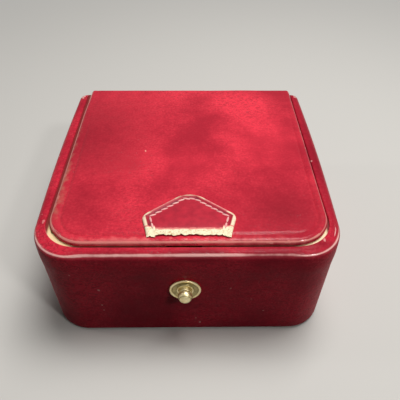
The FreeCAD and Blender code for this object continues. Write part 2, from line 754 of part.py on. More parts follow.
def make_latch():
    """Make the leaf spring with its nose, the strike with its window, and the pins that hold them."""
    sides = latch_span("Size.spring_wide")
    strip = box("spring_strip", sides, (SPRING_FRONT, SPRING_BACK), (WELL_FOOT, SPRING_TOP))
    nose = doc.addObject("Part::Wedge", "spring_nose")
    for side in ("Xmin", "X2min", "Ymin", "Zmin", "Z2min"):
        setattr(nose, side, 0.0)
    for side in ("Xmax", "X2max"):
        nose.setExpression(side, "Size.nose_wide")
    tip = f"({BLADE_FRONT} - Size.nose_past)"
    nose.setExpression("Ymax", f"{SPRING_FRONT} - {tip}")
    nose.setExpression("Zmax", "Size.nose_lip")
    nose.setExpression("Z2max", f"{NOSE_TOP} - {NOSE_FOOT}")
    place(nose, latch_span("Size.nose_wide")[0], tip, NOSE_FOOT)
    whole = join("spring_plain", strip, nose)
    x = "Size.button_aside"
    holes = [
        pin_hole(f"spring_pin_hole_{number}", x, height, SPRING_FRONT, FOOT_PIN_END, False)
        for number, height in enumerate(FOOT_PINS, start=1)
    ]
    cut("latch_spring", whole, *holes)
    pins = [
        pin(f"latch_pin_{number}", x, height, SPRING_FRONT, FOOT_PIN_END, False)
        for number, height in enumerate(FOOT_PINS, start=1)
    ]
    group("latch_pins", pins)

    sides = latch_span("Size.strike_wide")
    head = f"({LID_UNDER} + Size.strike_thick)"
    flange = box("strike_flange", sides, (BLADE_FRONT, STRIKE_BACK), (LID_UNDER, head))
    blade = box("strike_blade", sides, (BLADE_FRONT, BLADE_BACK), (BLADE_FOOT, head))
    whole = join("strike_plain", flange, blade)
    through = (f"({BLADE_FRONT} - {PAST})", f"({BLADE_BACK} + {PAST})")
    window_top = f"({WINDOW_FOOT} + Size.window_tall)"
    tools = [box("strike_window", latch_span("Size.window_wide"), through, (WINDOW_FOOT, window_top))]
    for number, x in enumerate(STRIKE_PINS, start=1):
        tools.append(pin_hole(f"strike_pin_hole_{number}", x, STRIKE_PIN_Y, LID_UNDER, LID_BOARD_TOP, True))
    cut("strike_plate", whole, *tools)
    pins = [
        pin(f"strike_pin_{number}", x, STRIKE_PIN_Y, LID_UNDER, LID_BOARD_TOP, True)
        for number, x in enumerate(STRIKE_PINS, start=1)
    ]
    group("strike_pins", pins)


NODES = (
    "base_cover", "base_board", "front_wall", "left_wall", "right_wall", "back_wall",
    "left_corner_post", "right_corner_post", "body_leather", "back_leather", "hinge_leather",
    "front_liner", "left_liner", "right_liner", "back_liner", "ledge_leather", "floor_pad",
    "button_barrel", "push_button", "button_washer", "latch_spring", "latch_pins",
    "lid_board", "lid_leather", "lid_lining", "lid_pad", "strike_plate", "strike_pins",
    "pull_tab", "tab_stitches",
)


def write_parts():
    """Check every object and every sub-part, then write one file for each sub-part."""
    doc.recompute()
    failed = [item.Name for item in doc.Objects if {"Invalid", "Error"} & set(item.State)]
    if failed:
        raise RuntimeError(f"objects that failed: {failed}")
    for name in NODES:
        shape = doc.getObject(name).Shape
        if shape.isNull() or not shape.isValid():
            raise RuntimeError(f"{name} has no valid shape")
    os.makedirs("parts", exist_ok=True)
    for name in NODES:
        item = doc.getObject(name)
        item.Label = name
        item.Shape.exportStep(f"parts/{item.Label}.step")
        print(f"{name}: {len(item.Shape.Solids)} solid(s), {item.Shape.Volume:.1f} mm3")


make_base()
make_carcass()
make_body_leather()
make_back()
make_liners()
make_ledge_leather()
make_pads()
make_lid()
make_tab()
make_stitches()
make_button()
make_latch()
write_parts()
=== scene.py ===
# %% [markdown]
# # A leather jewellery case
# A small square case of thin boards covered with oxblood leather. The lid lies between the rims and turns on
# the leather of the back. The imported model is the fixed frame: every piece here goes where its solid is, and
# the solids themselves are never moved or changed.

# %% Load the frame
import math

import bmesh
import bpy
from mathutils import Matrix, Vector, noise


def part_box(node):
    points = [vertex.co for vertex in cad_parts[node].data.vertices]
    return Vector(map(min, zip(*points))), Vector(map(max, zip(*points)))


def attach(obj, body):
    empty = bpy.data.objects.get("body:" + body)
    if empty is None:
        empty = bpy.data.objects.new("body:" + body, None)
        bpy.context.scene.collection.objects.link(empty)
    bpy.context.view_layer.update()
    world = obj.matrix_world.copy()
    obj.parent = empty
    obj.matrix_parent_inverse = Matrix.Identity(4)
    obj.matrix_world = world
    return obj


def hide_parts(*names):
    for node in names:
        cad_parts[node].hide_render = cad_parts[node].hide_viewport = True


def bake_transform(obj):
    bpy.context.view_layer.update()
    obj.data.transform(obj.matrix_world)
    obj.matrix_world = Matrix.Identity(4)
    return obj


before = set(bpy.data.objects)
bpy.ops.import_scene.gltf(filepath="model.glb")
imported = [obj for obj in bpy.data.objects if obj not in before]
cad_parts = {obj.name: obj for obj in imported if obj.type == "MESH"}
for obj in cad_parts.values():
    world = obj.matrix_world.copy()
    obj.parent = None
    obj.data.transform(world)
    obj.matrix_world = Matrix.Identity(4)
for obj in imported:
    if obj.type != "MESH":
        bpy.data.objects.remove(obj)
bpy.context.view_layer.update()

MM = 0.001

# %% [markdown]
# ## The camera
# The picture was taken from the front, about 44 degrees above the table, close up with a phone's wide lens.
# A camera that was fitted to the rim, the lid and the table line gives these numbers, so the render and the
# photograph can be laid over each other. It is turned about the upright, tipped down, and then rolled a little.

# %% Camera
FOCAL_PX, FRAME_PX, SENSOR = 431.9, 400.0, 36.0
PITCH, YAW, ROLL = (math.radians(angle) for angle in (44.14, 0.934, 0.452))
CAMERA_AT = Vector((2.178, -117.234, 132.604)) * MM

camera = bpy.data.objects.new("camera", bpy.data.cameras.new("camera"))
camera.data.sensor_width = SENSOR
camera.data.lens = FOCAL_PX / FRAME_PX * SENSOR
camera.data.clip_start = 5 * MM
facing = Matrix.Rotation(-YAW, 4, "Z") @ Matrix.Rotation(math.pi / 2 - PITCH, 4, "X")
camera.matrix_world = Matrix.Translation(CAMERA_AT) @ facing @ Matrix.Rotation(ROLL, 4, "Z")
bpy.context.scene.collection.objects.link(camera)
bpy.context.scene.camera = camera
print("lens", round(camera.data.lens, 2), "mm")

# %% [markdown]
# ## Tools for finishes
# Colours are written as sRGB hex values, as a paint chart gives them, and turned to linear light once. One
# function adds any node: its sockets are given in order or by name. A socket that is given another node's output
# is linked, and any other is set, a hex colour in linear light.

# %% Finish tools
def linear(code):
    """Turn an sRGB hex colour into linear RGBA."""
    shares = [int(code[i:i + 2], 16) / 255 for i in (1, 3, 5)]
    return [s / 12.92 if s <= 0.04045 else ((s + 0.055) / 1.055) ** 2.4 for s in shares] + [1.0]


def add(tree, kind, sockets=(), output=None, **settings):
    """Add a node with its settings, set or link its sockets, and return one of its outputs."""
    node = tree.nodes.new("ShaderNode" + kind)
    for key, choice in settings.items():
        setattr(node, key, choice)
    if isinstance(sockets, dict):
        pairs = [(node.inputs[key], given) for key, given in sockets.items()]
    else:
        pairs = zip([socket for socket in node.inputs if socket.enabled], sockets)
    for socket, given in pairs:
        if isinstance(given, bpy.types.NodeSocket):
            tree.links.new(given, socket)
        else:
            socket.default_value = linear(given) if isinstance(given, str) else given
    return node.outputs[output] if output else next((way for way in node.outputs if way.enabled), None)


def new_finish(name):
    """Start a material with no nodes, and return it with its tree and the Object coordinates."""
    material = bpy.data.materials.new(name)
    material.use_nodes = True
    material.node_tree.nodes.clear()
    return material, material.node_tree, add(material.node_tree, "TexCoord", output="Object")


print("oxblood in linear light:", [round(part, 3) for part in linear("#d62d41")])

# %% [markdown]
# ## Scuffs in known places
# The case has small marks that you can point at: nicks on the front, bare ends of the rims and stains on the lid.
# Others are painted light: a faint painted reflection of the button's plate on the front, painted shade along the
# front rim and the right rim, paler patches of the lid that are partly faded dye and partly a painted sheen, and a
# pink band along the lid's front edge that is partly wear and partly a painted highlight. Each is a spot, a reach
# and a strength, in millimetres, and each group has a shape that draws its spots out along one axis. A Mapping
# node puts the spot at the origin and scales its reach to 1, and a noise makes the edge uneven, so the patch is
# ragged instead of round.

# %% Spots
def near_spots(tree, place, groups, uneven, soft):
    """Return a share that is high near any of the given spots, with an uneven edge."""
    share = 0.0
    edge = add(tree, "Math", [uneven, 2.0], operation="MULTIPLY")
    for spots, shape in groups:
        for spot, reach, strength in spots:
            lain = add(tree, "Mapping", {"Vector": place, "Location": Vector(spot) * MM,
                                         "Scale": Vector(shape) * reach * MM}, vector_type="TEXTURE")
            apart = add(tree, "VectorMath", [lain], output="Value", operation="LENGTH")
            inside = add(tree, "Math", [edge, apart], operation="SUBTRACT")
            patch = add(tree, "MapRange", [inside, 0.0, soft, 0.0, strength], interpolation_type="SMOOTHSTEP")
            share = add(tree, "Math", [share, patch], operation="MAXIMUM")
    return share


FRONT_NICKS_AND_REFLECTION = (
    ((-26.8, -43.0, 23.1), 0.5, 0.6), ((-26.7, -43.0, 12.1), 0.4, 0.55), ((-26.9, -43.0, 15.0), 0.35, 0.5),
    ((-33.9, -42.9, 30.9), 0.35, 0.5), ((3.6, -43.0, 4.5), 0.55, 0.6), ((2.4, -43.0, 7.0), 0.4, 0.4),
    ((12.8, -43.0, 23.7), 0.3, 0.4), ((19.4, -43.0, 17.9), 0.3, 0.35), ((23.8, -43.0, 11.2), 0.35, 0.4),
    # A faint pale patch above the button's plate: a painted reflection of the plate in the glossy front.
    ((-0.8, -43.0, 29.6), 0.8, 0.12),
)
RIM_SCUFFS = (
    ((-43.4, 40.2, 39.2), 0.9, 0.75), ((43.6, 40.2, 39.2), 0.7, 0.5), ((-45.0, 1.4, 39.2), 0.6, 0.4),
    ((-42.4, -30.1, 39.4), 0.45, 0.3), ((-43.6, -27.0, 39.4), 0.25, 0.35), ((38.9, -37.7, 39.4), 0.4, 0.45),
    ((42.1, -2.2, 39.3), 0.35, 0.55),
)
LID_EDGE_SCUFFS = (
    ((-14.8, 1.8, 40.8), 0.3, 0.7), ((41.0, 41.4, 40.6), 0.5, 0.7), ((41.0, 13.5, 40.6), 0.35, 0.6),
    ((41.2, 3.8, 40.6), 0.45, 0.6), ((41.2, 8.2, 40.5), 0.3, 0.45), ((-39.8, -21.1, 40.5), 0.6, 0.4),
    ((-39.8, -24.6, 40.5), 0.5, 0.4), ((-39.9, -10.8, 40.5), 0.6, 0.35),
)
LID_FRONT_SCUFFS = (
    ((18.5, -38.7, 40.6), 0.3, 0.5), ((23.2, -39.2, 40.3), 0.5, 0.65), ((28.2, -39.1, 40.3), 0.5, 0.65),
    ((-4.5, -37.9, 40.8), 0.25, 0.4), ((-0.4, -38.2, 40.8), 0.3, 0.4), ((5.6, -38.0, 40.8), 0.2, 0.35),
)
LID_STAINS = (
    ((29.0, -27.0, 40.8), 22.0, 0.62), ((-42.0, 12.0, 40.8), 42.0, 0.6), ((-34.0, -24.0, 40.8), 17.0, 0.35),
)
# Paler patches of the lid: partly faded dye, partly a painted sheen.
LID_FADED_AND_SHEEN = (((28.0, 8.0, 40.8), 32.0, 0.5), ((0.0, -6.0, 40.8), 24.0, 0.35))
LID_LEFT_WORN = (((-41.2, 8.0, 40.4), 2.6, 0.45), ((-41.4, -15.0, 40.4), 3.6, 0.7))
# A pink band along the lid's front edge: partly wear, partly a painted highlight.
LID_FRONT_WORN_AND_HIGHLIT = (((-19.0, -39.2, 40.4), 2.2, 0.45), ((19.0, -39.2, 40.4), 2.2, 0.3))
# Painted shade: spots that darken the top of the front rim.
RIM_PAINTED_SHADE = (
    ((-20.0, -43.2, 39.4), 3.2, 0.5), ((2.0, -43.2, 39.4), 3.2, 0.7), ((24.0, -43.2, 39.4), 3.2, 0.7),
    ((40.0, -39.0, 39.4), 2.4, 0.5),
)
# Painted shade: the right rim is painted darker than the left.
RIGHT_RIM_PAINTED_SHADE = (((44.0, 2.0, 39.4), 3.6, 0.55),)
EVEN, ALONG_X, ALONG_Y = (1.0, 1.0, 1.0), (2.4, 1.0, 1.0), (1.0, 1.9, 1.0)
LONG_X, LONG_Y, EDGE_X, EDGE_Y = (5.0, 1.0, 1.0), (1.0, 20.0, 1.0), (9.0, 1.0, 1.0), (1.0, 8.0, 1.0)
print("scuffs:", len(FRONT_NICKS_AND_REFLECTION + RIM_SCUFFS + LID_EDGE_SCUFFS + LID_FRONT_SCUFFS))

# %% [markdown]
# ## Glazed calf
# The covering is calf, dyed by hand and then glazed, so its colour is cloudy. The flat parts have gone dull and
# stay deep red, while hands have polished the glaze on the rounded edges. Along those edges the colour is also
# mixed towards pale pink: partly leather rubbed bare, partly a painted highlight that draws the line of light.
# Creases gather in patches and are darkened as painted shade, and some dye is faded or worn thin. Real calf grain
# is about 0.3 mm and would not show at this size, so it is drawn at 0.7 mm, and the creases at 2.6 mm instead of
# 1.5 mm.

# %% Leather finish
CLOUD, MOTTLE, FINE, CREASE, GRAIN, RELIEF = 26 * MM, 2.5 * MM, 0.8 * MM, 2.6 * MM, 0.7 * MM, 0.1 * MM


def calf_finish(name, dark, bright, worn_and_highlight, scuffs_and_reflection=(), stains_and_shade=(), faded_and_sheen=(), thinned_and_highlit=(), rub_and_highlight=0.5, glaze=0.05):
    """Make glazed leather: cloudy dye, creases, rubbed edges, scuffs, stains and a fine grain, with painted shade
    in creases and spots, a painted sheen on faded patches and a painted highlight along rounded edges.
    """
    material, tree, place = new_finish(name)
    clouds, mottle, fine = (add(tree, "TexNoise", {"Vector": place, "Scale": 1 / size, "Detail": detail})
                            for size, detail in ((CLOUD, 2.0), (MOTTLE, 4.0), (FINE, 3.0)))
    tone = add(tree, "Mix", [0.17, clouds, mottle])
    tone = add(tree, "Mix", [0.16, tone, fine])
    share = add(tree, "MapRange", [tone, 0.35, 0.65], interpolation_type="SMOOTHSTEP")
    # Paler patches: partly faded dye, partly a painted sheen where the lid is brightest.
    paler_and_sheen = near_spots(tree, place, faded_and_sheen, clouds, 1.0)
    share = add(tree, "Math", [share, paler_and_sheen], operation="ADD", use_clamp=True)
    colour = add(tree, "Mix", [share, dark, bright], data_type="RGBA")

    # A fold of the noise about its middle value leaves thin winding lines.
    lain = add(tree, "Mapping", {"Vector": place, "Rotation": (0.0, 0.0, 0.45), "Scale": (1.0, 2.0, 2.0)})
    folds = add(tree, "TexNoise", {"Vector": lain, "Scale": 1 / CREASE, "Detail": 2.0, "Distortion": 1.2})
    fold = add(tree, "Math", [add(tree, "Math", [folds, 0.5], operation="SUBTRACT")], operation="ABSOLUTE")
    crease = add(tree, "MapRange", [fold, 0.0, 0.07, 1.0, 0.0], interpolation_type="SMOOTHSTEP")
    gathered = add(tree, "MapRange", [clouds, 0.4, 0.62, 0.1, 0.5])
    dry = add(tree, "Math", [add(tree, "MapRange", [fine, 0.5, 0.75, 0.0, 0.1]), gathered], operation="MULTIPLY")
    colour = add(tree, "Mix", [dry, colour, worn_and_highlight], data_type="RGBA")
    # Creases and the spots of stains_and_shade darken the colour towards half the dark dye: painted shade in the
    # creases and on the rims, real stains on the lid.
    crease = add(tree, "Math", [crease, gathered], operation="MULTIPLY")
    dirty_and_shaded = add(tree, "Math", [crease, near_spots(tree, place, stains_and_shade, clouds, 0.9)], operation="MAXIMUM")
    deep = [0.5 * part for part in linear(dark)[:3]] + [1.0]
    colour = add(tree, "Mix", [dirty_and_shaded, colour, deep], data_type="RGBA")

    # Along rounded edges the colour turns pale pink: partly leather rubbed bare, partly a painted highlight.
    edge = add(tree, "Attribute", output="Fac", attribute_name="rubbed_and_highlit")
    patchy = add(tree, "MapRange", [add(tree, "Mix", [0.35, clouds, mottle]), 0.38, 0.6, 0.84, 1.06])
    bare_and_highlit = add(tree, "Math", [edge, patchy], operation="MULTIPLY")
    bare_and_highlit = add(tree, "MapRange", [bare_and_highlit, 0.68, 1.04, 0.0, rub_and_highlight], interpolation_type="SMOOTHSTEP")
    bare_and_highlit = add(tree, "Math", [bare_and_highlit, near_spots(tree, place, scuffs_and_reflection, fine, 0.35)], operation="MAXIMUM")
    colour = add(tree, "Mix", [bare_and_highlit, colour, worn_and_highlight], data_type="RGBA")
    # Worn places take another colour: bare hide on the lid's left edge, and along its front edge a pink band that
    # is partly wear, partly a painted highlight.
    for groups, hide in thinned_and_highlit:
        thin_and_highlit = near_spots(tree, place, groups, mottle, 0.8)
        colour = add(tree, "Mix", [thin_and_highlit, colour, hide], data_type="RGBA")

    rough = add(tree, "MapRange", [mottle, 0.3, 0.7, 0.36, 0.48])
    polish = add(tree, "MapRange", [edge, 0.15, 0.75, glaze, 0.8])
    grain = add(tree, "TexVoronoi", {"Vector": place, "Scale": 1 / GRAIN}, feature="SMOOTH_F1")
    lines = add(tree, "Bump", {"Strength": 0.5, "Distance": RELIEF, "Height": crease}, invert=True)
    skin = add(tree, "Bump", {"Strength": 0.4, "Distance": RELIEF, "Height": grain, "Normal": lines})
    surface = add(tree, "BsdfPrincipled", {
        "Base Color": colour, "Roughness": rough, "IOR": 1.48, "Specular IOR Level": 0.03, "Coat Weight": polish,
        "Coat Roughness": 0.15, "Normal": skin, "Coat Normal": lines})
    add(tree, "OutputMaterial", [surface])
    return material


oxblood = calf_finish("calf_hand_dyed_and_glazed", "#98192b", "#d62d41", "#ffc3ba",
                      ((FRONT_NICKS_AND_REFLECTION, EVEN), (RIM_SCUFFS, ALONG_Y)),
                      ((RIM_PAINTED_SHADE, LONG_X), (RIGHT_RIM_PAINTED_SHADE, LONG_Y)), rub_and_highlight=0.85)
lid_oxblood = calf_finish("calf_hand_dyed_and_glazed_lid", "#ac2032", "#e9384a", "#f6a596",
                          ((LID_EDGE_SCUFFS, ALONG_Y), (LID_FRONT_SCUFFS, ALONG_X)),
                          ((LID_STAINS, EVEN),), ((LID_FADED_AND_SHEEN, EVEN),),
                          ((((LID_LEFT_WORN, EDGE_Y),), "#b06e5c"), (((LID_FRONT_WORN_AND_HIGHLIT, EDGE_X),), "#f0837f")),
                          rub_and_highlight=0.7, glaze=0.2)
base_skiver = calf_finish("skiver_pasted_and_smoothed", "#4a131b", "#6b1f29", "#8f5a50", rub_and_highlight=0.3)
print("leathers:", [finish.name for finish in (oxblood, lid_oxblood, base_skiver)])

# %% [markdown]
# ## Cream kid
# The ledge that the lid rests on is covered with kid, pasted down and rubbed smooth. It is still cream where
# the lid's round corners leave it open, but under the gaps along the lid's edge it is painted dark, partly dirt
# and red dye, partly painted shade, and this is why those gaps look dark. The dirt and painted shade are placed by
# Object coordinates: each ramp runs from one millimetre value to another.

# %% Kid finish
SIDE_GAP, BEHIND_CORNER, FRONT_GAP = (40.2, 40.9), (-36.4, -34.6), (-38.8, -39.3)
FROM_LEFT, FROM_RIGHT = (-37.0, -33.0), (34.0, 30.0)


def kid_finish(name, dark, bright, grime_and_shade):
    """Make smooth pale leather with soft patches, and dirt and painted shade along the gaps round the lid."""
    material, tree, place = new_finish(name)
    patches = add(tree, "TexNoise", {"Vector": place, "Scale": 1 / (6 * MM), "Detail": 4.0})
    share = add(tree, "MapRange", [patches, 0.3, 0.7])
    colour = add(tree, "Mix", [share, dark, bright], data_type="RGBA")
    parts = add(tree, "SeparateXYZ", [place]).node.outputs
    aside = add(tree, "Math", [parts["X"]], operation="ABSOLUTE")
    ways = ((aside, SIDE_GAP), (parts["Y"], BEHIND_CORNER), (parts["Y"], FRONT_GAP), (parts["X"], FROM_LEFT),
            (parts["X"], FROM_RIGHT))
    ramps = [add(tree, "MapRange", [way, start * MM, end * MM]) for way, (start, end) in ways]
    sides = add(tree, "Math", ramps[:2], operation="MULTIPLY")
    front = add(tree, "Math", ramps[2:4], operation="MULTIPLY")
    front = add(tree, "Math", [front, ramps[4]], operation="MULTIPLY")
    dirt_and_shade = add(tree, "Math", [sides, front], operation="MAXIMUM")
    uneven = add(tree, "MapRange", [patches, 0.2, 0.5, 0.96, 1.0])
    dirt_and_shade = add(tree, "Math", [dirt_and_shade, uneven], operation="MULTIPLY")
    # The grime colour stands for dirt and painted shade in the gaps.
    colour = add(tree, "Mix", [dirt_and_shade, colour, grime_and_shade], data_type="RGBA")
    pores = add(tree, "TexNoise", {"Vector": place, "Scale": 1 / (0.5 * MM), "Detail": 3.0})
    skin = add(tree, "Bump", {"Strength": 0.4, "Distance": 0.05 * MM, "Height": pores})
    rough = add(tree, "MapRange", [patches, 0.3, 0.7, 0.45, 0.6])
    surface = add(tree, "BsdfPrincipled", {"Base Color": colour, "Roughness": rough, "IOR": 1.48,
                                           "Specular IOR Level": 0.3, "Normal": skin})
    add(tree, "OutputMaterial", [surface])
    return material


cream_kid = kid_finish("kid_pasted_and_rubbed_smooth", "#e2c894", "#f4e3bd", "#78171a")
# The lid's lining gets the same dirt and painted shade in a milder colour.
lid_kid_finish = kid_finish("kid_pasted_and_rubbed_smooth_lid", "#e2c894", "#f4e3bd", "#c4a470")
print("lining leather:", cream_kid.name)

# %% [markdown]
# ## Thread and silk
# The thread is linen, twisted and waxed, so it is a dull pale pink with a fine twist. The pads are silk satin:
# woven so that long threads lie on the face, which gives a soft gloss and a bloom of light at the edges. The
# twist is drawn at 0.3 mm and the weave at 0.4 mm, about twice the real size, so that both can be seen.

# %% Thread and silk
def fibre_finish(name, dark, bright, rough, patch, fibre, sheen):
    """Make a finish of fibres: soft patches of tone and fine raised threads."""
    material, tree, place = new_finish(name)
    patches = add(tree, "TexNoise", {"Vector": place, "Scale": 1 / (patch * MM), "Detail": 4.0})
    share = add(tree, "MapRange", [patches, 0.3, 0.7])
    colour = add(tree, "Mix", [share, dark, bright], data_type="RGBA")
    along = add(tree, "Mapping", {"Vector": place, "Scale": (0.3, 1.0, 1.0)})
    threads = add(tree, "TexNoise", {"Vector": along, "Scale": 1 / (fibre * MM), "Detail": 2.0})
    raised = add(tree, "Bump", {"Strength": 0.4, "Distance": 0.04 * MM, "Height": threads})
    gloss = add(tree, "MapRange", [threads, 0.3, 0.7, rough, rough + 0.1])
    surface = add(tree, "BsdfPrincipled", {
        "Base Color": colour, "Roughness": gloss, "IOR": 1.5, "Specular IOR Level": 0.35, "Sheen Weight": sheen,
        "Sheen Roughness": 0.4, "Normal": raised})
    add(tree, "OutputMaterial", [surface])
    return material


linen_thread = fibre_finish("linen_twisted_and_waxed", "#ea979a", "#f6c0b6", 0.5, 1.6, 0.3, 0.0)
silk = fibre_finish("silk_woven_as_satin", "#dcc9a0", "#efe2c2", 0.36, 14.0, 0.4, 0.3)
print("fibres:", linen_thread.name, silk.name)

# %% [markdown]
# ## Tools for pieces
# A piece starts as a flat plate with rounded corners, as a block, or as a section that is swept. One function
# turns a finished bmesh into an object, smooth except where its faces meet sharply. Another stores on each vertex
# how much the surface is rounded there: that is where leather is rubbed first, and where a painted highlight is
# laid. Places are compared to within a thousandth of a millimetre.

# %% Piece tools
TINY, WELD = 0.001 * MM, 0.002 * MM


def bevel(bm, geom, radius, rounds, affect="EDGES"):
    """Round off edges, or corners if asked."""
    bmesh.ops.bevel(bm, geom=geom, offset=radius, offset_type="OFFSET", segments=rounds, profile=0.5,
                    affect=affect, material=-1)


def block(size, middle):
    """Start a bmesh with a box of a given size about its middle."""
    bm = bmesh.new()
    bmesh.ops.create_cube(bm, size=1.0)
    bmesh.ops.scale(bm, vec=size, verts=bm.verts[:])
    bmesh.ops.translate(bm, vec=middle, verts=bm.verts[:])
    return bm


def plate(low, high, height, front_corner, back_corner=0.0, segments=20):
    """Start a bmesh with one level face between two points, with round front corners and, if asked, back ones."""
    bm = bmesh.new()
    bmesh.ops.create_grid(bm, x_segments=1, y_segments=1, size=1.0)
    for vert in bm.verts:
        vert.co = (high.x if vert.co.x > 0 else low.x, high.y if vert.co.y > 0 else low.y, height)
    for y, radius in ((low.y, front_corner), (high.y, back_corner)):
        corners = [vert for vert in bm.verts if abs(vert.co.y - y) < TINY / 10]
        if radius:
            bevel(bm, corners, radius, segments, "VERTICES")
    return bm


def slice_at(bm, point, normal, clear=False):
    """Cut all faces along a plane, and clear away what lies on its far side if asked."""
    geom = bm.verts[:] + bm.edges[:] + bm.faces[:]
    return bmesh.ops.bisect_plane(bm, geom=geom, plane_co=point, plane_no=normal, clear_outer=clear)["geom_cut"]


def only(kind, geom):
    """Pick the verts, edges or faces out of an operator's result."""
    return [item for item in geom if isinstance(item, kind)]


def sweep(bm, edges, steps, centre=(0, 0, 0), axis=(0, 0, 1), degrees=0.0, shift=(0, 0, 0)):
    """Carry edges on, turning about an axis or straight along a shift, and return the last edges."""
    verts = list({vert for edge in edges for vert in edge.verts})
    made = bmesh.ops.spin(bm, geom=verts + edges, cent=centre, axis=axis, angle=math.radians(degrees),
                          dvec=Vector(shift) / steps, steps=steps)
    return only(bmesh.types.BMEdge, made["geom_last"])


def inset(bm, faces, inward, rise=0.0):
    """Inset a face evenly from its border, and raise or lower it."""
    bmesh.ops.inset_region(bm, faces=faces, thickness=inward, depth=rise, use_even_offset=True, use_boundary=True)


def mark_rubbed_and_highlit(bm, handled_and_highlit=lambda spot: 1.0):
    """Store how much a vertex lies on a rounded edge, for rubbing and a painted highlight, scaled by a given
    share.
    """
    layer = bm.verts.layers.float.new("rubbed_and_highlit")
    bm.normal_update()
    for vert in bm.verts:
        rounded = (2 * abs(vert.normal.z) * math.hypot(vert.normal.x, vert.normal.y)) ** 4
        vert[layer] = rounded * handled_and_highlit(vert.co)


def ripple(bm, height, size, chosen):
    """Push chosen vertices in and out a little, as hand-drawn leather lies over a board."""
    bm.normal_update()
    for vert, way in [(vert, vert.normal.copy()) for vert in bm.verts if chosen(vert)]:
        vert.co += way * height * noise.noise(vert.co / size)


def make_piece(name, bm, finish, slot, *stands_for, sharp=42.0):
    """Turn a bmesh into an object of the case that stands for the given solids."""
    mesh = bpy.data.meshes.new(name)
    bm.to_mesh(mesh)
    bm.free()
    mesh.shade_smooth()
    mesh.set_sharp_from_angle(angle=math.radians(sharp))
    mesh.materials.append(finish)
    piece = bpy.data.objects.new(name, mesh)
    bpy.context.scene.collection.objects.link(piece)
    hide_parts(*stands_for)
    print(name, len(mesh.polygons), "faces")
    return piece


# %% [markdown]
# ## The case's skin
# One strip of leather goes round the sides and the front, and is rolled over the top of the boards. Seen in
# section it is an upside-down J. Sweeping that section round the plan gives every rounded edge at once: a
# quarter turn at each corner, and straight runs between.

# %% Case skin, swept
case_low, case_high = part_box("body_leather")
LEATHER, RIM_WIDE, FRONT_CORNER = 0.8 * MM, 3.2 * MM, 12 * MM
RIM_ROUND, INNER_ROUND, FOOT_ROUND = 2.4 * MM, 0.5 * MM, 0.5 * MM
END_STEPS, SIDE_STEPS, CORNER_STEPS, FRONT_STEPS, WALL_CUTS, RIM_CUTS = 8, 36, 18, 34, 20, 2
half_wide, face_y, back_face = case_high.x, case_low.y, case_high.y
rim_top, foot = case_high.z, case_low.z
board_top = rim_top - LEATHER

bm = bmesh.new()
section_x = RIM_WIDE - half_wide
section = [(0, foot), (0, rim_top), (RIM_WIDE, rim_top), (RIM_WIDE, board_top), (LEATHER, board_top),
           (LEATHER, foot)]
corners = [bm.verts.new((section_x, back_face - depth, height)) for depth, height in section]
for first, second in zip(corners, corners[1:] + corners[:1]):
    bm.edges.new((first, second))
for index, radius, rounds in ((1, RIM_ROUND, 12), (2, INNER_ROUND, 4), (0, FOOT_ROUND, 3)):
    bevel(bm, [corners[index]], radius, rounds, "VERTICES")
tall = [edge for edge in bm.edges if edge.calc_length() > rim_top / 2]
bmesh.ops.subdivide_edges(bm, edges=tall, cuts=WALL_CUTS)
flat = [edge for edge in bm.edges if all(abs(vert.co.z - rim_top) < TINY for vert in edge.verts)]
bmesh.ops.subdivide_edges(bm, edges=flat, cuts=RIM_CUTS)

turn_y = back_face - RIM_WIDE
side_run = face_y + FRONT_CORNER - turn_y
front_run = 2 * (half_wide - FRONT_CORNER)
corner_x, corner_y = half_wide - FRONT_CORNER, face_y + FRONT_CORNER
edges = sweep(bm, bm.edges[:], END_STEPS, centre=(section_x, turn_y, 0), degrees=90)
edges = sweep(bm, edges, SIDE_STEPS, shift=(0, side_run, 0))
edges = sweep(bm, edges, CORNER_STEPS, centre=(-corner_x, corner_y, 0), degrees=90)
edges = sweep(bm, edges, FRONT_STEPS, shift=(front_run, 0, 0))
edges = sweep(bm, edges, CORNER_STEPS, centre=(corner_x, corner_y, 0), degrees=90)
edges = sweep(bm, edges, SIDE_STEPS, shift=(0, -side_run, 0))
sweep(bm, edges, END_STEPS, centre=(-section_x, turn_y, 0), degrees=90)
bmesh.ops.remove_doubles(bm, verts=bm.verts[:], dist=WELD)
bmesh.ops.holes_fill(bm, edges=[edge for edge in bm.edges if edge.is_boundary], sides=0)
bmesh.ops.recalc_face_normals(bm, faces=bm.faces[:])
print("strip of leather, faces:", len(bm.faces))

# %% [markdown]
# No hand-covered case is quite square. Its sides swell by less than a millimetre between the round front
# corners and the straight back, and the leather is plump just under the rim. It bunches up on the inside of the
# front corners, so the rim is wider there, and it is drawn down a little at the back ends. The edge is rubbed, and
# given a painted highlight, most along the front.

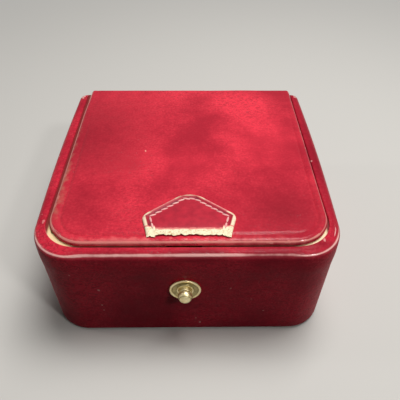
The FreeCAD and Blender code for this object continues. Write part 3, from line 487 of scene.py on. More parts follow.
# %% Case skin, swelled and bunched
SWELL, SWELL_MIDDLE, SWELL_REACH = 0.8 * MM, 5 * MM, 80 * MM
PLUMP, PLUMP_FOOT, PLUMP_BACK = 0.3 * MM, 27 * MM, 8 * MM
LEFT_BUNCH, RIGHT_BUNCH, BUNCH_CLEAR, BUNCH_START = 10.6 * MM, 10.2 * MM, 0.25 * MM, 0.2 * MM
END_DIP, END_FROM, JUST_OVER = 0.5 * MM, 38 * MM, 0.1 * MM
HIGHLIT_RUB_FROM, HIGHLIT_RUB_OVER, HIGHLIT_RUB_LEAST, CORNER_FROM = -22 * MM, 12 * MM, 0.4, 30 * MM
RIPPLE, RIPPLE_SIZE = 0.12 * MM, 11 * MM
rim_inside = half_wide - RIM_WIDE
for vert in bm.verts:
    side = math.copysign(1.0, vert.co.x)
    bunch = RIGHT_BUNCH if side > 0 else LEFT_BUNCH
    from_x, from_y = abs(vert.co.x) - corner_x, corner_y - vert.co.y
    depth = FRONT_CORNER - math.hypot(max(from_x, 0.0), max(from_y, 0.0)) - min(max(from_x, from_y), 0.0)
    inward = min(max(depth / RIM_WIDE, 0.0), 1.0)
    if from_y > 0 and vert.co.z > PLUMP_FOOT and (depth < 0.7 * LEATHER or vert.co.z > board_top + TINY):
        outward = Vector((side * max(from_x, 0.0), -from_y, 0.0)).normalized()
        rise = (vert.co.z - PLUMP_FOOT) / (rim_top - PLUMP_FOOT)
        full = math.sin(math.pi * rise) ** 2 * (1.0 - inward) * min(from_y / PLUMP_BACK, 1.0)
        vert.co += outward * PLUMP * full
    turn = Vector((abs(vert.co.x) - rim_inside + bunch, vert.co.y - face_y - RIM_WIDE - bunch, 0.0))
    if turn.x > 0 and turn.y < 0 and turn.length > bunch and vert.co.z > board_top - TINY:
        moved = turn.normalized() * (turn.length - bunch) * inward
        vert.co -= Vector((side * moved.x, moved.y, 0.0))
        vert.co.z = max(vert.co.z, board_top + BUNCH_CLEAR * min(moved.length / BUNCH_START, 1.0))
    along = max(math.cos(math.pi * (vert.co.y - SWELL_MIDDLE) / SWELL_REACH), 0.0)
    vert.co.x += side * SWELL * (1.0 - inward) * along
    if vert.co.z > board_top + JUST_OVER:
        vert.co.z -= END_DIP * max((vert.co.y - END_FROM) / (back_face - END_FROM), 0.0) ** 2


def handled_and_highlit(spot):
    """Tell how much the rim is rubbed and given a painted highlight: most along the front, more at its corners."""
    most = 1.2 if abs(spot.x) > CORNER_FROM else 1.0
    return min(max((HIGHLIT_RUB_FROM - spot.y) / HIGHLIT_RUB_OVER, HIGHLIT_RUB_LEAST), most)


mark_rubbed_and_highlit(bm, handled_and_highlit)
ripple(bm, RIPPLE, RIPPLE_SIZE, lambda vert: vert.co.z > board_top + JUST_OVER and vert.co.y < turn_y)
case_skin = make_piece("case_skin", bm, oxblood, "oxblood_leather", "body_leather")
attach(case_skin, "case")

# %% [markdown]
# ## The lid's skin, its hinge and the back
# The lid's leather runs on over the back edge and down the back, and that bend is the hinge. So this is one
# piece: a plate with a raised edge and a tooled line inside it, rolled over at the back and let down to the
# foot.

# %% Lid skin, raised edge and tooled line
lid_low, lid_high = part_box("lid_leather")
LID_CORNER, LID_ROUND, SPARE, ROUNDS = 11 * MM, 1.5 * MM, 12 * MM, 8
# Each step in from the edge: how far in and how far up, in millimetres.
TOOLED = ((0.7, -0.06), (0.35, -0.2), (0.3, -0.1), (0.3, 0.14), (0.4, 0.18), (0.6, 0.04))
lid_top, lid_half, lid_middle = lid_high.z, (lid_high.x - lid_low.x) / 2, (lid_high.x + lid_low.x) / 2

bm = plate(lid_low, Vector((lid_high.x, back_face + SPARE, 0)), lid_low.z, LID_CORNER, segments=26)
top = bm.faces[:]
bmesh.ops.extrude_edge_only(bm, edges=bm.edges[:])
bmesh.ops.translate(bm, verts=top[0].verts[:], vec=(0, 0, lid_top - LID_ROUND - lid_low.z))
bm.normal_update()
if top[0].normal.z < 0:
    bmesh.ops.reverse_faces(bm, faces=top)
angles = [math.radians(90 * step / ROUNDS) for step in range(ROUNDS + 1)]
for start, end in zip(angles, angles[1:]):
    inward, rise = math.cos(start) - math.cos(end), math.sin(end) - math.sin(start)
    inset(bm, top, LID_ROUND * inward, LID_ROUND * rise)
for inward, rise in TOOLED:
    inset(bm, top, inward * MM, rise * MM)
print("lid, faces in its edge:", len(bm.faces))

# %% [markdown]
# The tooled line is clear round the front corners and fades out along the sides. Before the roll, the plate is
# cut into cells, so that it can fade and ripple.

# %% Lid skin, rolled over the back
CELL, CELLS, BACK_ROUND, SLACK = 4 * MM, 10, 1.0 * MM, 0.01 * MM
ROLL_STEPS, HINGE_STEPS, BACK_STEPS = 6, 8, 12
FADE_START, FADE_END, FADE_MOST = 4 * MM, 30 * MM, 0.85
for number in range(-CELLS, CELLS + 1):
    slice_at(bm, (number * CELL, 0, 0), (1, 0, 0))
    slice_at(bm, (0, number * CELL, 0), (0, 1, 0))
for vert in bm.verts:
    if vert.co.z < lid_top - TINY and abs(vert.co.x - lid_middle) < lid_half - LID_ROUND + SLACK:
        fade = min(max((vert.co.y - FADE_START) / (FADE_END - FADE_START), 0.0), FADE_MOST)
        vert.co.z += (lid_top - vert.co.z) * fade
roll_y, roll_z = back_face - BACK_ROUND, lid_top - BACK_ROUND
cut = slice_at(bm, (0, roll_y, 0), (0, 1, 0), clear=True)
edges = [edge for edge in only(bmesh.types.BMEdge, cut)
         if all(vert.co.z > roll_z - TINY for vert in edge.verts)]
edges = sweep(bm, edges, ROLL_STEPS, centre=(0, roll_y, roll_z), axis=(1, 0, 0), degrees=-90)
hinge_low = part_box("hinge_leather")[0].z
edges = sweep(bm, edges, HINGE_STEPS, shift=(0, 0, hinge_low - roll_z))
sweep(bm, edges, BACK_STEPS, shift=(0, 0, foot - hinge_low))
bmesh.ops.remove_doubles(bm, verts=bm.verts[:], dist=WELD)
bmesh.ops.recalc_face_normals(bm, faces=bm.faces[:])
print("lid and back, faces:", len(bm.faces))

# %% [markdown]
# Below the hinge the leather widens to the whole back. The lid's left edge is worn flat and has spread by half a
# millimetre, and it is rubbed, with a painted highlight, more than any other edge. The skin gets its thickness
# last, on its inner side.

# %% Lid skin, widened and thickened
WIDEN, SPREAD, SPREAD_WIDE, SPREAD_END, SPREAD_FADE = 2 * MM, 0.5 * MM, 2.5 * MM, 38 * MM, 12 * MM
LEFT_EDGE, FRONT_EDGE, LEFT_HIGHLIT_RUB, FRONT_HIGHLIT_RUB, OTHER_HIGHLIT_RUB = -38 * MM, -36 * MM, 1.5, 1.25, 0.95
LID_RIPPLE, LID_RIPPLE_SIZE, RIPPLE_IN, LID_THICK = 0.1 * MM, 14 * MM, 3 * MM, 0.7 * MM
for vert in bm.verts:
    if vert.co.z < hinge_low:
        share = min((hinge_low - vert.co.z) / WIDEN, 1.0)
        vert.co.x += share * ((vert.co.x - lid_middle) / lid_half * rim_inside - vert.co.x)
    near_edge = min(max((lid_low.x + SPREAD_WIDE - vert.co.x) / SPREAD_WIDE, 0.0), 1.0)
    vert.co.x -= SPREAD * near_edge * min(max((SPREAD_END - vert.co.y) / SPREAD_FADE, 0.0), 1.0)
mark_rubbed_and_highlit(bm, lambda spot: LEFT_HIGHLIT_RUB if spot.x < LEFT_EDGE else FRONT_HIGHLIT_RUB if spot.y < FRONT_EDGE else OTHER_HIGHLIT_RUB)
ripple(bm, LID_RIPPLE, LID_RIPPLE_SIZE,
       lambda vert: abs(vert.co.x - lid_middle) < lid_half - RIPPLE_IN and vert.co.z > roll_z)
bmesh.ops.solidify(bm, geom=bm.faces[:], thickness=LID_THICK)
lid_skin = make_piece("lid_skin", bm, lid_oxblood, "oxblood_leather",
                      "lid_leather", "hinge_leather", "back_leather")
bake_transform(lid_skin)

# %% [markdown]
# ## The cream ledge
# Kid is pasted over the inner frame: flat on the ledge, then down the inside to the floor. A plate is sliced
# along the inside and round the slot for the strike, the middle is taken out, and its inner edge is let down.

# %% Ledge kid
ledge_low, ledge_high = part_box("ledge_leather")
KID, CAVITY_HALF, CAVITY_FRONT, CAVITY_BACK = 0.3 * MM, 39.2 * MM, -33.8 * MM, 37.2 * MM
SLOT_LEFT, SLOT_RIGHT, SLOT_BACK = -5.8 * MM, 4.2 * MM, -34.7 * MM
KID_STEPS, KID_ROUND, SHARP_TURN = 6, 0.7 * MM, 1.0

bm = plate(ledge_low, ledge_high, ledge_high.z, FRONT_CORNER - RIM_WIDE, segments=14)
for x in (-CAVITY_HALF, CAVITY_HALF, SLOT_LEFT, SLOT_RIGHT):
    slice_at(bm, (x, 0, 0), (1, 0, 0))
for y in (CAVITY_FRONT, CAVITY_BACK, SLOT_BACK):
    slice_at(bm, (0, y, 0), (0, 1, 0))


def in_cavity(spot, slack=0.0):
    """Tell whether a point lies over the inside of the case."""
    return abs(spot.x) < CAVITY_HALF + slack and CAVITY_FRONT - slack < spot.y < CAVITY_BACK + slack


gone = []
for piece in bm.faces:
    spot = piece.calc_center_median()
    if in_cavity(spot) or (SLOT_LEFT < spot.x < SLOT_RIGHT and spot.y < SLOT_BACK):
        gone.append(piece)
bmesh.ops.delete(bm, geom=gone, context="FACES")
inner = [edge for edge in bm.edges if edge.is_boundary and all(in_cavity(vert.co, TINY) for vert in edge.verts)]
sweep(bm, inner, KID_STEPS, shift=(0, 0, ledge_low.z - ledge_high.z))
bmesh.ops.recalc_face_normals(bm, faces=bm.faces[:])
if max(bm.faces, key=lambda piece: piece.calc_center_median().z).normal.z < 0:
    bmesh.ops.reverse_faces(bm, faces=bm.faces[:])
bent = [edge for edge in bm.edges if len(edge.link_faces) == 2 and edge.calc_face_angle() > SHARP_TURN
        and all(vert.co.z > ledge_high.z - TINY for vert in edge.verts)]
bevel(bm, bent, KID_ROUND, 4)
bmesh.ops.solidify(bm, geom=bm.faces[:], thickness=KID)
ledge_kid = make_piece("ledge_kid", bm, cream_kid, "cream_kid", "ledge_leather")
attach(ledge_kid, "case")

# %% [markdown]
# ## The lid's lining and the base
# Both are thin flat skins: a plate is given its thickness by an extrusion, and its outer edge is bevelled. The
# lining has a window where the strike's foot goes through.

# %% Thin skins
def thin_skin(bm, thick, pared, rounds):
    """Give a plate a thickness upwards and pare the edges of its lower side."""
    low_z = min(vert.co.z for vert in bm.verts)
    raised = bmesh.ops.extrude_face_region(bm, geom=bm.faces[:])["geom"]
    bmesh.ops.translate(bm, verts=only(bmesh.types.BMVert, raised), vec=(0, 0, thick))
    bmesh.ops.recalc_face_normals(bm, faces=bm.faces[:])
    under = [edge for edge in bm.edges if len(edge.link_faces) == 2 and edge.calc_face_angle() > SHARP_TURN
             and all(vert.co.z < low_z + TINY for vert in edge.verts)]
    bevel(bm, under, pared, rounds)


lining_low, lining_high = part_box("lid_lining")
strike_low, strike_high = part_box("strike_plate")
FIT = Vector((0.05, 0.05, 0.0)) * MM
LINING_INSET, LINING_PARED, BASE_INSET, BASE_PARED = 0.5 * MM, 0.12 * MM, 1.2 * MM, 0.35 * MM
window_low, window_high = strike_low - FIT, strike_high + FIT
bm = plate(lining_low, lining_high, lining_low.z, LID_CORNER - LINING_INSET, segments=18)
for corner in (window_low, window_high):
    slice_at(bm, corner, (1, 0, 0))
    slice_at(bm, corner, (0, 1, 0))
spots = {piece: piece.calc_center_median() for piece in bm.faces}
window = [piece for piece, spot in spots.items() if window_low.x < spot.x < window_high.x
          and window_low.y < spot.y < window_high.y]
bmesh.ops.delete(bm, geom=window, context="FACES")
thin_skin(bm, lining_high.z - lining_low.z, LINING_PARED, 2)
lid_kid = make_piece("lid_kid", bm, lid_kid_finish, "cream_kid", "lid_lining")
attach(lid_kid, "lid")

base_low, base_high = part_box("base_cover")
bm = plate(base_low, base_high, base_low.z, FRONT_CORNER - BASE_INSET, RIM_WIDE - BASE_INSET, 12)
thin_skin(bm, base_high.z - base_low.z, BASE_PARED, 3)
mark_rubbed_and_highlit(bm)
base_skin = make_piece("base_skin", bm, base_skiver, "base_leather", "base_cover")
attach(base_skin, "case")

# %% [markdown]
# ## The pads
# The floor and the lid are padded and covered with silk. A pad starts a little smaller than its solid, is
# remeshed into even cells, and then blown up as cloth for a few frames, so its sides draw in between the
# corners and its top crowns by itself. Its glued face is pinned, and no point may travel further than a cap.

# %% Pad tools
PAD_CELL, PAD_CAP, PAD_GLUE, PAD_FRAMES = 1.6 * MM, 1.5 * MM, 0.6 * MM, 20


def bake_modifiers(piece):
    """Make what the modifiers give the piece's own mesh."""
    graph = bpy.context.evaluated_depsgraph_get()
    mesh = bpy.data.meshes.new_from_object(piece.evaluated_get(graph))
    piece.modifiers.clear()
    piece.data = mesh


def blow_up(piece, low, high, glued):
    """Fill the pad as cloth, with its glued face pinned, and keep it in its solid's space."""
    rest = [vert.co.copy() for vert in piece.data.vertices]
    held = piece.vertex_groups.new(name="glued")
    held.add([i for i, spot in enumerate(rest) if abs(spot.z - glued) < PAD_GLUE], 1.0, "REPLACE")
    cloth = piece.modifiers.new("filling", "CLOTH")
    cloth.settings.quality = 6
    cloth.settings.mass = 0.15
    cloth.settings.use_pressure = True
    cloth.settings.uniform_pressure_force = 4.0
    cloth.settings.vertex_group_mass = "glued"
    cloth.settings.effector_weights.gravity = 0.0
    cloth.settings.tension_stiffness = cloth.settings.compression_stiffness = 8.0
    cloth.collision_settings.use_self_collision = False
    scene = bpy.context.scene
    for number in range(1, PAD_FRAMES + 1):
        scene.frame_set(number)
    graph = bpy.context.evaluated_depsgraph_get()
    filled = [vert.co.copy() for vert in piece.evaluated_get(graph).data.vertices]
    piece.modifiers.clear()
    scene.frame_set(1)
    for vert, old, new in zip(piece.data.vertices, rest, filled):
        travel = new - old
        vert.co = old + travel * min(1.0, PAD_CAP / max(travel.length, 1e-9))
        vert.co = [min(max(part, least), most) for part, least, most in zip(vert.co, low, high)]
    print(piece.name, "moved by up to", round(max((n - o).length for n, o in zip(filled, rest)) / MM, 2), "mm")


print("pad cells:", PAD_CELL / MM, "mm")

# %% [markdown]
# The floor's pad is glued by its lower face and the lid's by its upper face, so one function makes both.

# %% Pads
PAD_START, PAD_SHARE, PAD_CORNER, PAD_EDGE = 0.55 * MM, 0.62, 4 * MM, 1.2 * MM


def silk_pad(name, node, body, glued_low):
    """Make a crowned silk pad in the space of its solid, glued on its low or its high face."""
    low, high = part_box(node)
    size = high - low
    tall = PAD_SHARE * size.z
    glued, free = (low.z, low.z + tall) if glued_low else (high.z, high.z - tall)
    bm = block((size.x - 2 * PAD_START, size.y - 2 * PAD_START, tall),
               ((low.x + high.x) / 2, (low.y + high.y) / 2, (glued + free) / 2))
    standing = [edge for edge in bm.edges if abs(edge.verts[0].co.z - edge.verts[1].co.z) > TINY]
    bevel(bm, standing, PAD_CORNER, 6)
    rim = [edge for edge in bm.edges if all(abs(vert.co.z - free) < TINY for vert in edge.verts)]
    bevel(bm, rim, PAD_EDGE, 4)
    piece = make_piece(name, bm, silk, "pad_satin", node, sharp=180)
    remesh = piece.modifiers.new("even_cells", "REMESH")
    remesh.mode = "VOXEL"
    remesh.voxel_size = PAD_CELL
    bake_modifiers(piece)
    blow_up(piece, low, high, glued)
    finer = piece.modifiers.new("finer", "SUBSURF")
    finer.levels = finer.render_levels = 1
    bake_modifiers(piece)
    piece.data.shade_smooth()
    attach(piece, body)


silk_pad("floor_cushion", "floor_pad", "case", True)
silk_pad("lid_cushion", "lid_pad", "lid", False)

# %% [markdown]
# ## The torn pull tab
# A five-sided piece of calf is sewn on the lid. Its edge was cut with a knife and shows pale leather, thick at
# the shoulders and the point. The loop that you pulled was torn off at the front, and raw cream fibre shows
# there under a pink line where the grain gave way. The channel for the thread is painted dark, partly dirt,
# partly painted shade. All this is told apart by Object coordinates and by three numbers stored on the
# vertices: cut, pale and dirt_and_shade.

# %% Tab finish
tab_low, tab_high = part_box("pull_tab")
TAB_X, TEAR, BLOCK_AT, BLOCK_STEP, BLOCK_RISE = 0.5 * MM, 2.5 * MM, 9.5 * MM, 0.3 * MM, 0.9 * MM
WANDER, RAW_EDGE, LINE_EDGE = 0.12 * MM, (-0.05 * MM, 0.08 * MM), (0.35 * MM, 0.55 * MM)


def tab_finish(name, grain, cut, flesh, torn_line, channel_dirt_and_shade):
    """Make the tab's leather: red grain, pale cut edge, dirt and painted shade in the channel, raw fibre at the
    tear.
    """
    material, tree, place = new_finish(name)
    mottle, ragged, fibre = (
        add(tree, "TexNoise", {"Vector": place, "Scale": 1 / (size * MM), "Detail": detail, "Distortion": bent})
        for size, detail, bent in ((2.2, 4.0, 0.0), (0.9, 4.0, 0.0), (0.6, 5.0, 1.0)))
    share = add(tree, "MapRange", [mottle, 0.35, 0.65])
    colour = add(tree, "Mix", [share, *grain], data_type="RGBA")
    stored = {key: add(tree, "Attribute", output="Fac", attribute_name=key) for key in ("cut", "pale", "dirt_and_shade")}
    # The channel is darkened: dirt and painted shade.
    dirty_and_shaded = add(tree, "MapRange", [mottle, 0.4, 0.62, 0.05, 0.75])
    dirty_and_shaded = add(tree, "Math", [stored["dirt_and_shade"], dirty_and_shaded], operation="MULTIPLY")
    colour = add(tree, "Mix", [dirty_and_shaded, colour, channel_dirt_and_shade], data_type="RGBA")
    edge = add(tree, "Mix", [stored["pale"], *cut], data_type="RGBA")
    uneven = add(tree, "MapRange", [ragged, 0.25, 0.5, 0.5, 1.0])
    uneven = add(tree, "Math", [stored["cut"], uneven], operation="MULTIPLY")
    colour = add(tree, "Mix", [uneven, colour, edge], data_type="RGBA")

    # The tear runs level across the tab and steps up into a block at each end.
    parts = add(tree, "SeparateXYZ", [place]).node.outputs
    aside = add(tree, "Math", [parts["X"], TAB_X], operation="SUBTRACT")
    aside = add(tree, "Math", [aside], operation="ABSOLUTE")
    step = add(tree, "MapRange", [aside, BLOCK_AT, BLOCK_AT + BLOCK_STEP, 0.0, BLOCK_RISE])
    wander = add(tree, "MapRange", [ragged, 0.3, 0.7, -WANDER, WANDER])
    line = add(tree, "Math", [step, wander], operation="ADD")
    line = add(tree, "Math", [line, tab_low.y + TEAR], operation="ADD")
    inside = add(tree, "Math", [line, parts["Y"]], operation="SUBTRACT")
    raw, below = (add(tree, "MapRange", [inside, *edge]) for edge in (RAW_EDGE, LINE_EDGE))
    share = add(tree, "MapRange", [fibre, 0.3, 0.52])
    core = add(tree, "Mix", [share, *flesh], data_type="RGBA")
    core = add(tree, "Mix", [below, torn_line, core], data_type="RGBA")
    colour = add(tree, "Mix", [raw, colour, core], data_type="RGBA")
    rough = add(tree, "MapRange", [raw, 0.0, 1.0, 0.45, 0.9])
    lumps = add(tree, "Bump", {"Strength": 0.5, "Distance": 0.12 * MM, "Height": fibre})
    surface = add(tree, "BsdfPrincipled", {"Base Color": colour, "Roughness": rough, "IOR": 1.48,
                                           "Specular IOR Level": 0.2, "Normal": lumps})
    add(tree, "OutputMaterial", [surface])
    return material


tab_calf = tab_finish("calf_cut_and_torn", grain=("#a92134", "#bf283b"), cut=("#ee9f98", "#f9e4c2"),
                      flesh=("#d8b384", "#fbf1cd"), torn_line="#e8867f", channel_dirt_and_shade="#561c2c")
print("tab finish:", tab_calf.name)

# %% [markdown]
# The tab's shape is a stack of insets: up the cut edge, over the margin, down into the channel for the thread
# and up to the field. The plate first runs on past the tear, so that every ring runs out of it, and is then cut
# off there.

# %% Tab, shaped
TAB_FOOT, TAB_WIDE, TAB_POINT, TAB_SIDE, RUN_ON = 23.8 * MM, 28 * MM, 4.8 * MM, 7.7 * MM, 6 * MM
EDGE_SHARE, SHORT_EDGE, POINT_OVER, POINT_ROUND, SIDE_ROUND = 0.55, 1.0 * MM, 2 * MM, 2.1 * MM, 1.7 * MM
tab_foot, tab_thick = tab_low.y, tab_high.z - tab_low.z
tab_shoulder = tab_foot + TAB_SIDE
spread = (TAB_WIDE - TAB_FOOT) / 2 / TAB_SIDE
# Each ring: how far in and up, in millimetres, how much of it is cut edge and how much dirt and painted shade it
# has.
RINGS = ((0.25, 0.25, 1.0, 0.0), (0.3, 0.15, 1.0, 0.0), (0.25, 0.05, 0.9, 0.0), (0.35, 0.0, 0.3, 0.0),
         (0.2, -0.2, 0.0, 0.5), (0.7, 0.0, 0.0, 1.0), (0.25, 0.2, 0.0, 1.0))


def tab_plate(run_on):
    """Start the tab's outline as one face that looks up, run on past its foot."""
    bm = bmesh.new()
    foot_half = TAB_FOOT / 2 - spread * run_on
    right = ((TAB_POINT / 2, tab_high.y), (TAB_WIDE / 2, tab_shoulder), (foot_half, tab_foot - run_on))
    outline = [(TAB_X + x, y) for x, y in right] + [(TAB_X - x, y) for x, y in reversed(right)]
    bm.faces.new([bm.verts.new((x, y, tab_low.z)) for x, y in reversed(outline)])
    bm.normal_update()
    if bm.faces[:][0].normal.z < 0:
        bmesh.ops.reverse_faces(bm, faces=bm.faces[:])
    return bm


bm = tab_plate(RUN_ON)
top = bm.faces[:]
cut, pale, dirt_and_shade = (bm.verts.layers.float.new(key) for key in ("cut", "pale", "dirt_and_shade"))
for vert in bm.verts:
    vert[cut] = 1.0
bmesh.ops.extrude_edge_only(bm, edges=bm.edges[:])
bmesh.ops.translate(bm, verts=top[0].verts[:], vec=(0, 0, EDGE_SHARE * tab_thick))
for inward, rise, is_cut, is_dirty_and_shaded in RINGS:
    for vert in top[0].verts:
        vert[cut], vert[dirt_and_shade] = is_cut, is_dirty_and_shaded
    inset(bm, top, inward * MM, rise * MM)
for vert in top[0].verts:
    vert[cut] = vert[dirt_and_shade] = 0.0
corners = [edge for edge in bm.edges if max(vert.co.y for vert in edge.verts) > tab_foot
           and min(vert[cut] for vert in edge.verts) > 0.5 and edge.calc_length() < SHORT_EDGE]
at_point = [edge for edge in corners if min(vert.co.y for vert in edge.verts) > tab_shoulder + POINT_OVER]
at_side = [edge for edge in corners if edge not in at_point]
bevel(bm, at_point, POINT_ROUND, 5)
bevel(bm, at_side, SIDE_ROUND, 5)
print("tab faces:", len(bm.faces))

# %% [markdown]
# Slices across the tab give the torn strip enough points to be thinned, made lumpy and frayed along its edge. The
# cut edge is palest at the point and at the two sides.

# %% Tab, torn
SLICE, SLICES = 0.45 * MM, 32
POINT_FROM, POINT_HALF, SIDE_OVER, SIDE_FROM = 13.5 * MM, 4.5 * MM, 1.3 * MM, 10 * MM
LUMP, LUMP_SIZE, FRAY, COARSE_FRAY, FINE_FRAY = 0.1 * MM, 0.8 * MM, 0.55 * MM, 1.3 * MM, 0.4 * MM
BLOCK_SHIFT, MIDDLE_SHIFT = -0.35 * MM, 0.2 * MM
for number in range(-SLICES, SLICES + 1):
    slice_at(bm, (TAB_X + number * SLICE, 0, 0), (1, 0, 0))
for inward in (TEAR + BLOCK_RISE, TEAR, TEAR * 0.8, TEAR * 0.55, TEAR * 0.3):
    slice_at(bm, (0, tab_foot + inward, 0), (0, 1, 0))
slice_at(bm, (0, tab_foot, 0), (0, -1, 0), clear=True)
for vert in bm.verts:
    aside, inside = abs(vert.co.x - TAB_X), vert.co.y - tab_foot
    near_point = inside > POINT_FROM and aside < POINT_HALF
    near_side = inside < TAB_SIDE + SIDE_OVER and aside > SIDE_FROM
    vert[pale] = 1.0 if near_point or near_side else 0.0
    if near_side and vert[cut] > 0.2:
        vert[cut] = 1.0
    upper = vert.co.z > tab_low.z + TINY
    if inside < TEAR and upper:
        lumps = LUMP * noise.noise(vert.co / LUMP_SIZE)
        vert.co.z = tab_low.z + (vert.co.z - tab_low.z) * (0.5 + 0.4 * inside / TEAR) + lumps
    if inside < TINY:
        frayed = noise.noise(Vector((vert.co.x / COARSE_FRAY, 3.1, 0.4)))
        frayed += 0.8 * noise.noise(Vector((vert.co.x / FINE_FRAY, 7.7, 1.9)))
        vert.co.y += FRAY * frayed + (BLOCK_SHIFT if aside > BLOCK_AT else MIDDLE_SHIFT)
bmesh.ops.holes_fill(bm, edges=[edge for edge in bm.edges if edge.is_boundary], sides=0)
bmesh.ops.recalc_face_normals(bm, faces=bm.faces[:])
tab_leaf = make_piece("tab_leaf", bm, tab_calf, "tab_leather", "pull_tab", sharp=50)
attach(tab_leaf, "lid")

# %% [markdown]
# ## The thread
# The tab is sewn by hand, a stitch about every two millimetres, each one turned a little to the level, so that
# the seam looks like a row of steps. An inset of the tab's outline gives the line of the seam, and each stitch
# is a flattened ball along it.

# %% Stitches
STITCH_IN, STITCH_LONG, STITCH_WIDE, STITCH_PITCH = 2.25 * MM, 2.4 * MM, 0.68 * MM, 2.0 * MM
STITCH_SUNK, SLANT, WOBBLE, WOBBLE_SIZE = 0.12 * MM, math.radians(14), math.radians(5), 1.7 * MM
seam = tab_plate(0.0)
inner = seam.faces[:]
inset(seam, inner, STITCH_IN)
runs = [sorted((vert.co.copy() for vert in edge.verts), key=lambda spot: spot.x) for edge in inner[0].edges
        if max(vert.co.y for vert in edge.verts) > tab_foot + STITCH_IN + 0.1 * MM]
seam.free()

bm = bmesh.new()
stitch_z, count = tab_high.z - STITCH_SUNK, 0
for start, end in runs:
    number = max(1, round((end - start).length / STITCH_PITCH))
    heading = math.atan2(end.y - start.y, end.x - start.x)
    slant = math.copysign(SLANT, -heading) if abs(heading) < 1.0 else 0.0
    for step in range(number):
        spot = start.lerp(end, (step + 0.5) / number)
        wobble = WOBBLE * noise.noise(spot / WOBBLE_SIZE)
        turn = Matrix.Rotation(heading + slant + wobble, 4, "Z")
        size = Matrix.Diagonal((STITCH_LONG / 2, STITCH_WIDE / 2, STITCH_WIDE * 0.45, 1.0))
        bmesh.ops.create_uvsphere(bm, u_segments=10, v_segments=8, radius=1.0,
                                  matrix=Matrix.Translation((spot.x, spot.y, stitch_z)) @ turn @ size)
        count += 1
tab_thread = make_piece("tab_thread", bm, linen_thread, "tab_thread", "tab_stitches", sharp=180)
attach(tab_thread, "lid")
print("stitches:", count)

# %% [markdown]
# ## The catch
# A dished brass plate with a rolled rim sits in the front wall, and a domed button slides in it. Both are
# turned pieces, so each is a section spun once round the button's axis. The brass was turned, then gilt, and is
# now a little dull: clouds of tarnish and fine scratches spread the light into a soft pale gold, and the tarnish
# has stayed in the hollows, where no finger rubs it off.

# %% Brass finish
def brass_finish(name, deep, bright, tarnish, rough):
    """Make a metal with uneven gloss, a little tarnish and fine scratches."""
    material, tree, place = new_finish(name)
    cloudy = add(tree, "TexNoise", {"Vector": place, "Scale": 1 / (1.8 * MM), "Detail": 4.0})
    share = add(tree, "MapRange", [cloudy, 0.35, 0.65])
    colour = add(tree, "Mix", [share, deep, bright], data_type="RGBA")
    dull = add(tree, "MapRange", [cloudy, 0.56, 0.75, 0.0, 0.35], interpolation_type="SMOOTHSTEP")
    recess = add(tree, "Attribute", output="Fac", attribute_name="recess")
    uneven = add(tree, "MapRange", [cloudy, 0.3, 0.7, 0.5, 1.0])
    recess = add(tree, "Math", [recess, uneven], operation="MULTIPLY")
    dull = add(tree, "Math", [dull, recess], operation="MAXIMUM")
    colour = add(tree, "Mix", [dull, colour, tarnish], data_type="RGBA")
    # Scratches of 0.1 mm are drawn at 0.8 mm and long, which is what is left of them at this distance.
    lines = add(tree, "Mapping", {"Vector": place, "Rotation": (0.3, 0.2, 0.4), "Scale": (1.0, 1.0, 8.0)})
    scratches = add(tree, "TexNoise", {"Vector": lines, "Scale": 1 / (0.8 * MM), "Detail": 3.0})
    worked = add(tree, "Bump", {"Strength": 0.2, "Distance": 0.03 * MM, "Height": scratches})
    gloss = add(tree, "MapRange", [cloudy, 0.3, 0.75, rough, rough + 0.16])
    surface = add(tree, "BsdfPrincipled", {"Base Color": colour, "Metallic": 1.0, "Roughness": gloss,
                                           "Normal": worked})
    add(tree, "OutputMaterial", [surface])
    return material


gilt_brass = brass_finish("brass_turned_and_gilt", "#d8c38c", "#f6e9bd", "#75693a", 0.3)
spring_brass = brass_finish("brass_rolled_hard", "#a98a4b", "#cdb06c", "#7e6c45", 0.34)
print("metals:", gilt_brass.name, spring_brass.name)

# %% [markdown]
# The plate is a ring, so its section is closed. The button is solid, so its section starts and ends on the axis.
# Corners of a section are a radius and a place along Y in millimetres, and each rounding names a corner, a radius
# and a number of steps. The plate's dish and the button's neck are marked as hollows.

# %% Catch plate and button
TURN_STEPS = 48
barrel_low, barrel_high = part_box("button_barrel")
axis_x, axis_z = (barrel_low.x + barrel_high.x) / 2, (barrel_low.z + barrel_high.z) / 2


def turned(section, roundings):
    """Spin a section once round the button's axis."""
    bm = bmesh.new()
    verts = [bm.verts.new((axis_x + radius * MM, along * MM, axis_z)) for radius, along in section]
    closed = section[0][0] > 0
    for first, second in zip(verts, verts[1:] + verts[:1] if closed else verts[1:]):
        bm.edges.new((first, second))
    for index, radius, rounds in roundings:
        bevel(bm, [verts[index]], radius * MM, rounds, "VERTICES")
    bmesh.ops.spin(bm, geom=bm.verts[:] + bm.edges[:], cent=(axis_x, 0, axis_z), axis=(0, 1, 0),
                   angle=math.tau, steps=TURN_STEPS, use_merge=True)
    bmesh.ops.remove_doubles(bm, verts=bm.verts[:], dist=TINY)
    bmesh.ops.recalc_face_normals(bm, faces=bm.faces[:])
    return bm


def mark_recess(bm, inner, outer):
    """Store which vertices lie in a hollow between two radii."""
    layer = bm.verts.layers.float.new("recess")
    for vert in bm.verts:
        radius = math.hypot(vert.co.x - axis_x, vert.co.z - axis_z) / MM
        vert[layer] = 1.0 if inner < radius < outer else 0.0
    return bm


